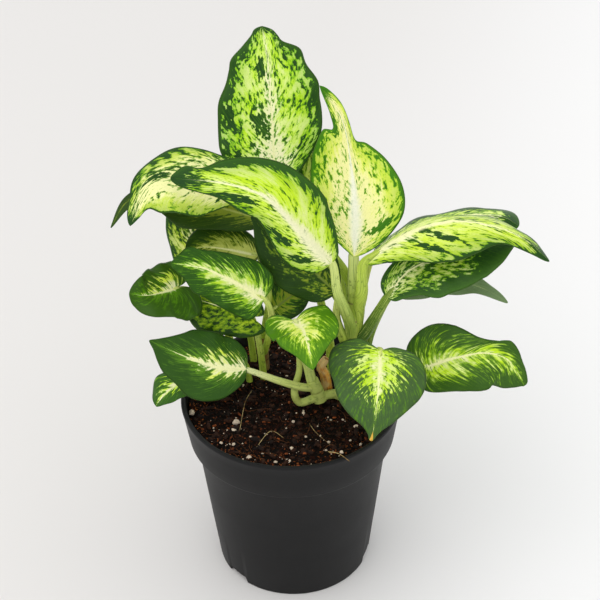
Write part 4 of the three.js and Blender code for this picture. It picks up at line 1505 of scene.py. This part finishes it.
    def build(self) -> None:
        """Build the soil and all that lies on it."""
        self._body()
        pale = (PERLITE_CREAM, seen(196, 178, 156), 900.0)
        self._bits("large_perlite", self.LARGE_GRAINS, 1.25, 3, *pale)
        self._bits("small_perlite", self._scattered(self.PERLITE, 0.25, 0.8), 1.35, 1, *pale)
        bark = self._scattered(self.BARK, 0.4, 1.8)
        self._bits("bark_crumbs", bark, 2.4, 1, seen(52, 28, 14), seen(18, 9, 5))
        coir = self._scattered(self.COIR, 0.3, 1.0)
        self._bits("coir_crumbs", coir, 2.6, 1, seen(140, 72, 30), seen(70, 32, 14))
        fibres = [(self._fibre(x, y), self.FIBRE_RADIUS) for x, y, _ in self._scattered(self.FIBRES)]
        skin = crumbs("coir_strands", seen(118, 72, 38), seen(56, 30, 16))
        self._strands("coir_fibres", fibres, (0, 0, 1), (5, 12), skin)
        skin = crumbs("straw", STRAW, seen(120, 92, 50))
        self._strands("straws_and_roots", self.STRAWS, (0.2, 0, 1), (6, 24), skin)


# ---- Pot ----


@dataclass
class Pot:
    """The nursery pot: tapered wall, wide collar, rounded lip and a notched foot ring."""

    height: float = 120
    rim_radius: float = 65
    lip: float = 3
    collar_height: float = 26.5
    collar_foot_radius: float = 60.8
    wall_top_radius: float = 57
    foot_radius: float = 47
    wall: float = 2
    floor_rise: float = 4.5
    pad_radius: float = 22
    foot_ring: float = 5
    notch_count: int = 3
    notch_width: float = 15
    first_notch: float = 102  # degrees from +X towards +Y
    segments: int = 224
    sharp: float = 48  # edges that turn by more degrees than this stay crisp

    def _profile(self) -> List[Pair]:
        """The pot's section, from the middle of its underside round to the middle of its floor.

        Returns:
            Each point's radius and height, in mm.
        """
        top, ledge = self.height, self.height - self.collar_height
        rim, mouth = self.rim_radius, self.rim_radius - self.lip
        foot, ring = self.foot_radius, self.foot_radius - self.foot_ring
        pad, rise, wall = self.pad_radius, self.floor_rise, self.wall
        waist, collar = self.wall_top_radius, self.collar_foot_radius
        return [
            (0, 0), (pad - 0.6, 0), (pad, 0.5), (pad + 2, rise), (ring - 0.3, rise), (ring, rise - 0.4),
            (ring + 0.1, 0.4), (ring + 0.6, 0), (foot - 0.8, 0), (foot - 0.1, 0.4), (foot + 0.1, 1.2),
            (foot + 3.3, ledge * 0.33), (foot + 6.6, ledge * 0.66), (waist - 0.2, ledge - 1.6),
            (waist + 0.2, ledge - 0.5), (waist + 0.8, ledge + 0.1), (collar - 0.6, ledge + 0.35),
            (collar, ledge + 0.7), (collar + 0.25, ledge + 1.5), (collar + 1.3, ledge + 9),
            (rim - 1.6, top - 8), (rim - 0.9, top - 2.6), (rim - 0.45, top - 1.5), (rim - 0.5, top - 0.6),
            (rim - 0.9, top - 0.05), (mouth + 0.8, top - 0.05), (mouth + 0.1, top - 0.5), (mouth - 0.4, top - 1.2),
            (collar - wall, ledge + wall), (waist - wall, ledge - 1), (foot - wall + 0.6, rise + wall),
            (0, rise + wall),
        ]

    def _notched(self, point: Vector) -> bool:
        """Whether a point of the foot ring's underside is in a drainage notch.

        Args:
            point: The point, in metres.

        Returns:
            Whether a notch is there.
        """
        step = FULL_TURN / self.notch_count
        turned = math.atan2(point.y, point.x) - math.radians(self.first_notch)
        angle = (turned + step / 2) % step - step / 2
        return abs(angle) * self.foot_radius < self.notch_width / 2

    def build(self) -> None:
        """Build the pot by turning its section round."""
        mesh = blank()
        corners = [mesh.verts.new((radius * MM, 0, height * MM)) for radius, height in self._profile()]
        edges = [mesh.edges.new(pair) for pair in zip(corners, corners[1:])]
        bmesh.ops.spin(
            mesh, geom=[*corners, *edges], cent=(0, 0, 0), axis=(0, 0, 1), dvec=(0, 0, 0),
            angle=FULL_TURN, steps=self.segments, use_merge=True,
        )
        inner = (self.foot_radius - self.foot_ring - 0.5) * MM
        for vertex in mesh.verts:
            low = vertex.co.z < (self.floor_rise - 0.5) * MM
            if low and vertex.co.to_2d().length > inner and self._notched(vertex.co):
                vertex.co.z = (self.floor_rise - 0.3) * MM
        closed(mesh)
        for face in mesh.faces:
            face.smooth = True
        made = piece("nursery_pot", mesh, Slot.POT, [pot_plastic()], ["pot"])
        made.data.set_sharp_from_angle(angle=math.radians(self.sharp))


# ---- Studio ----


@dataclass(frozen=True)
class Studio:
    """The floor, the lights and the camera."""

    lens: float = 84.0
    sensor: float = 36.0
    clip: Pair = (0.01, 50.0)  # nearest and farthest that the camera sees, in metres
    pitch: float = 35.906  # degrees that the camera looks down
    roll: float = -1.11
    distance: float = 780.2
    target: Point = (6.25, 0, 187.1)
    floor_reach: float = 6.0  # from the middle of the floor to its edges, in metres
    sky: Colour = (0.96, 0.98, 1.0)
    sky_strength: float = 1.06
    key_place: Point = (-0.6, -0.6, 1.5)  # where the soft light hangs, in metres
    key_aim: Point = (0.0, 0.0, 0.2)
    key_size: float = 1.4
    key_power: float = 5.0
    key_colour: Colour = (1.0, 0.99, 0.97)

    def camera(self) -> None:
        """Set up the camera."""
        pitch, roll = math.radians(self.pitch), math.radians(self.roll)
        ahead = Vector((0, math.cos(pitch), -math.sin(pitch)))
        level_right, level_up = Vector((1, 0, 0)), Vector((0, math.sin(pitch), math.cos(pitch)))
        right = level_right * math.cos(roll) + level_up * math.sin(roll)
        up = level_up * math.cos(roll) - level_right * math.sin(roll)
        place = (Vector(self.target) - ahead * self.distance) * MM
        data = bpy.data.cameras.new("camera")
        data.lens, data.sensor_width, data.sensor_fit = self.lens, self.sensor, "AUTO"
        data.clip_start, data.clip_end = self.clip
        made = bpy.data.objects.new("camera", data)
        turn = Matrix((right, up, -ahead)).transposed().to_4x4()
        made.matrix_world = Matrix.Translation(place) @ turn
        bpy.context.scene.collection.objects.link(made)
        bpy.context.scene.camera = made

    def floor(self) -> None:
        """Lay a plain pale floor, with painted light that makes it a little brighter at the right and front."""
        mesh = bmesh.new()
        bmesh.ops.create_grid(mesh, x_segments=4, y_segments=4, size=self.floor_reach)
        net = Network("pale_floor")
        x, y, _ = net.parts(net.place())
        # painted light: the floor is blended towards its brighter tone at the right and front, over the key
        # light's shadow
        tone = (x * 2.0 - y * 0.5 + 0.35).eased(0.0, 0.9)
        material = net.finish(net.blend(tone, FLOOR_PALE, FLOOR_PAINTED_LIGHT), 0.7)
        made = added("floor", mesh, [material])

    def lights(self) -> None:
        """Set up plain soft studio light: a pale sky and one square soft light."""
        world = bpy.data.worlds.new("studio")
        world.use_nodes = True
        background = world.node_tree.nodes["Background"]
        background.inputs["Color"].default_value = (*self.sky, 1)
        background.inputs["Strength"].default_value = self.sky_strength
        bpy.context.scene.world = world
        data = bpy.data.lights.new("key", "AREA")
        data.shape, data.size = "SQUARE", self.key_size
        data.energy, data.color = self.key_power, self.key_colour
        made = bpy.data.objects.new("key", data)
        made.rotation_mode = "QUATERNION"
        made.rotation_quaternion = (Vector(self.key_aim) - Vector(self.key_place)).to_track_quat("-Z", "Y")
        made.location = self.key_place
        bpy.context.scene.collection.objects.link(made)
        bpy.context.scene.view_settings.view_transform = "Standard"
        bpy.context.scene.view_settings.look = "None"


# ---- Putting it together ----


def main() -> None:
    """Build the studio, the pot, the soil, the canes and the leaves."""
    logging.basicConfig(level=logging.INFO, format="%(name)s: %(message)s")
    studio = Studio()
    for step in (studio.camera, studio.floor, studio.lights):
        step()
    for part in (Pot(), Soil(), *CANES, DriedSheath(), *LEAVES):
        part.build()


if __name__ == "__main__":
    main()
